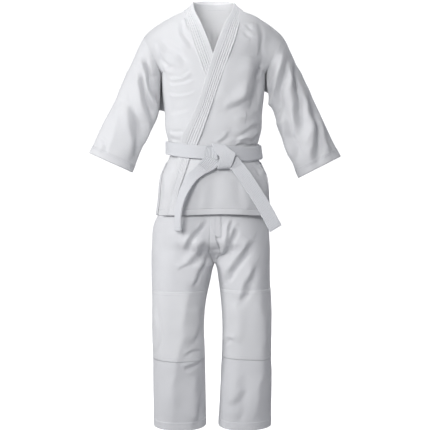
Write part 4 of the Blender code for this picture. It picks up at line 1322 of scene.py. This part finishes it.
def build_knot():
    """The knot's strands, which lie on the wraps and on each other."""
    face = -BELT_FACE
    # The broad loop over the wraps: edge lines from its folded top, round the front, to below.
    strand(
        "knot_loop_cloth", "upper_body",
        [(-0.006, face + 0.010, 0.008), (-0.006, face - 0.004, 0.015), (-0.004, face - 0.013, 0.0130),
         (0.005, face - 0.0165, -0.008), (0.0165, face - 0.0185, -0.020), (0.0195, face - 0.0190, -0.028),
         (0.016, face - 0.0185, -0.042), (0.0120, face - 0.0140, -0.0545), (0.012, face - 0.002, -0.056),
         (0.012, face + 0.006, -0.050)],
        [(0.034, face + 0.010, 0.008), (0.036, face - 0.004, 0.014), (0.0385, face - 0.0135, 0.0120),
         (0.052, face - 0.0175, 0.0015), (0.0665, face - 0.0190, -0.0095), (0.0685, face - 0.0190, -0.0135),
         (0.0615, face - 0.0185, -0.033), (0.0545, face - 0.0150, -0.0500), (0.050, face - 0.002, -0.053),
         (0.046, face + 0.006, -0.048)],
        "knot_loop", count=150,
    )
    # The end drawn up behind the loop, which turns down into the left-hand tail.
    strand(
        "knot_fold_cloth", "upper_body",
        [(-0.018, face + 0.004, 0.008), (-0.024, face - 0.006, 0.006), (-0.029, face - 0.0105, -0.004),
         (-0.031, face - 0.0120, -0.018)],
        [(0.012, face + 0.004, 0.010), (0.010, face - 0.008, 0.006), (0.012, face - 0.0120, -0.010),
         (0.014, face - 0.0125, -0.030)],
        "knot_fold", count=60, section=KNOT_SECTION,
    )
    strand(
        "knot_end_cloth_left", "upper_body",
        [(0.030, face - 0.004, -0.030), (0.040, face - 0.008, -0.044), (0.053, face - 0.010, -0.062)],
        [(0.062, face - 0.004, -0.006), (0.070, face - 0.008, -0.018), (0.086, face - 0.010, -0.044)],
        "knot_end_left", count=30,
    )
    strand(
        "knot_end_cloth_right", "upper_body",
        [(-0.008, face - 0.002, 0.004), (-0.023, face - 0.009, -0.010), (-0.0345, face - 0.0125, -0.029),
         (-0.050, face - 0.0150, -0.046)],
        [(0.032, face - 0.002, -0.036), (0.018, face - 0.0110, -0.046), (0.002, face - 0.0135, -0.060),
         (-0.018, face - 0.0145, -0.071)],
        "knot_end_right", count=60, section=KNOT_SECTION,
    )


build_knot()


def build_tails():
    """The two hanging ends, each with two rows of stitches across its tip."""
    face = -BELT_FACE
    blend = {
        "left": ("front_skirt", "left_tail", (0.070, face, -0.046), (0.105, face, -0.100)),
        "right": ("front_skirt", "right_tail", (-0.015, face, -0.040), (-0.045, face, -0.095)),
    }
    # Edge lines of each tail, from under the knot to its tip.
    edges = {
        "left": (
            [(0.046, face - 0.009, -0.050), (0.082, face - 0.012, -0.098), (0.130, face - 0.013, -0.173),
             (0.174, face - 0.014, -0.253)],
            [(0.074, face - 0.008, -0.020), (0.114, face - 0.011, -0.070), (0.164, face - 0.012, -0.148),
             (0.210, face - 0.014, -0.231)],
        ),
        "right": (
            [(-0.046, face - 0.0140, -0.042), (-0.060, face - 0.0130, -0.056),
             (-0.080, face - 0.0090, -0.0768), (-0.0992, face - 0.0035, -0.1152),
             (-0.1126, face + 0.0020, -0.1632), (-0.1172, face + 0.0030, -0.2048),
             (-0.1172, face + 0.0040, -0.2470)],
            [(-0.014, face - 0.0145, -0.0690), (-0.0290, face - 0.0160, -0.0765),
             (-0.0512, face - 0.0190, -0.0944), (-0.0736, face - 0.0240, -0.128),
             (-0.0905, face - 0.0265, -0.1664), (-0.0975, face - 0.0285, -0.2048),
             (-0.0985, face - 0.0285, -0.2480)],
        ),
    }
    for side, (left, right) in edges.items():
        first, across, normals = strand(
            f"belt_tail_cloth_{side}", blend[side], left, right, f"belt_tail_{side}", count=140)
        stitches = Thread()
        for end in (-3, -7):
            line = first[end] + across[end] * np.linspace(0.04, 0.96, 24)[:, None]
            line = line + normals[end] * BELT_THICK
            stitches.row(line, np.tile(normals[end], (24, 1)), pitch=0.0034)
        finish(stitches.make(f"belt_tip_stitches_{side}", THREAD_PAINTED_SHADE), blend[side])


build_tails()


# ---------------------------------------------------------------- view: camera, light, floor

# The camera's distance and height, and the breadth of what it sees at the object.
CAMERA_AWAY = 3.6
CAMERA_Z = -0.20
VIEW_SPAN = 1.376
# The paper's reach, the radius of its bend up into a wall, the wall's top, and its number of sides.
PAPER_REACH = 8.0
PAPER_BEND = 1.2
PAPER_TOP = 6.0
PAPER_SIDES = 64


def put(name, data, location=(0, 0, 0), target=None):
    """An object in the scene, turned to face its target where it has one."""
    item = bpy.data.objects.new(name, data)
    item.location = location
    if target:
        item.rotation_euler = (Vector(target) - Vector(location)).to_track_quat("-Z", "Y").to_euler()
    bpy.context.scene.collection.objects.link(item)
    return item


def build_lights():
    """Three soft lamps, a narrow one into the neck, and a dim, slightly blue surround."""
    for name, location, size, watts in (
        ("key", (-2.2, -1.25, 0.50), 0.8, 23),
        ("front", (-0.80, -2.5, 0.75), 0.9, 35),
        ("behind", (1.2, 2.6, 1.5), 1.2, 42),
    ):
        lamp = bpy.data.lights.new(name, "AREA")
        lamp.size = size
        lamp.energy = watts
        put(name, lamp, location, (0, 0, 0))
    lamp = bpy.data.lights.new("neck", "SPOT")
    lamp.energy = 62
    lamp.spot_size = math.radians(14)
    lamp.spot_blend = 1.0
    lamp.shadow_soft_size = 0.15
    put("neck", lamp, (0.0, -0.60, 1.3), (0.0, 0.09, 0.37))
    world = bpy.data.worlds.new("studio")
    world.use_nodes = True
    surround = world.node_tree.nodes["Background"]
    surround.inputs["Color"].default_value = (0.93, 0.94, 1.0, 1)
    surround.inputs["Strength"].default_value = 0.31
    bpy.context.scene.world = world


def build_backdrop():
    """A disc of glowing white paper under the object, which bends up into a wall round it."""
    paper = bpy.data.materials.new("studio_paper")
    paper.use_nodes = True
    shader = paper.node_tree.nodes["Principled BSDF"]
    shader.inputs["Base Color"].default_value = (0.9, 0.9, 0.9, 1)
    shader.inputs["Roughness"].default_value = 1.0
    shader.inputs["Emission Color"].default_value = (1, 1, 1, 1)
    shader.inputs["Emission Strength"].default_value = 0.88
    profile = []
    for step in range(9):
        turn = math.radians(90) * step / 8
        profile.append((PAPER_REACH - PAPER_BEND + PAPER_BEND * math.sin(turn),
                        PAPER_BEND * (1 - math.cos(turn))))
    profile.append((PAPER_REACH, PAPER_TOP))
    angles = np.linspace(0, 2 * math.pi, PAPER_SIDES, endpoint=False)
    vertices = [(out * math.cos(a), out * math.sin(a), FLOOR_Z + up) for out, up in profile for a in angles]
    faces = quads(len(profile), PAPER_SIDES, True).tolist() + [list(range(PAPER_SIDES))]
    mesh = bpy.data.meshes.new("backdrop")
    mesh.from_pydata(vertices, [], faces)
    mesh.materials.append(paper)
    backdrop = put("backdrop", mesh)
    backdrop.visible_diffuse = False


def build_view():
    """The camera, level with the middle of the uniform, and what it sees the uniform by."""
    camera = put("camera", bpy.data.cameras.new("camera"), (0.0048, -CAMERA_AWAY, CAMERA_Z))
    camera.rotation_euler = (math.pi / 2, 0, 0)
    camera.data.sensor_width = 36.0
    camera.data.lens = camera.data.sensor_width * CAMERA_AWAY / VIEW_SPAN
    bpy.context.scene.camera = camera
    bpy.context.scene.view_settings.view_transform = "Standard"
    build_lights()
    build_backdrop()


build_view()
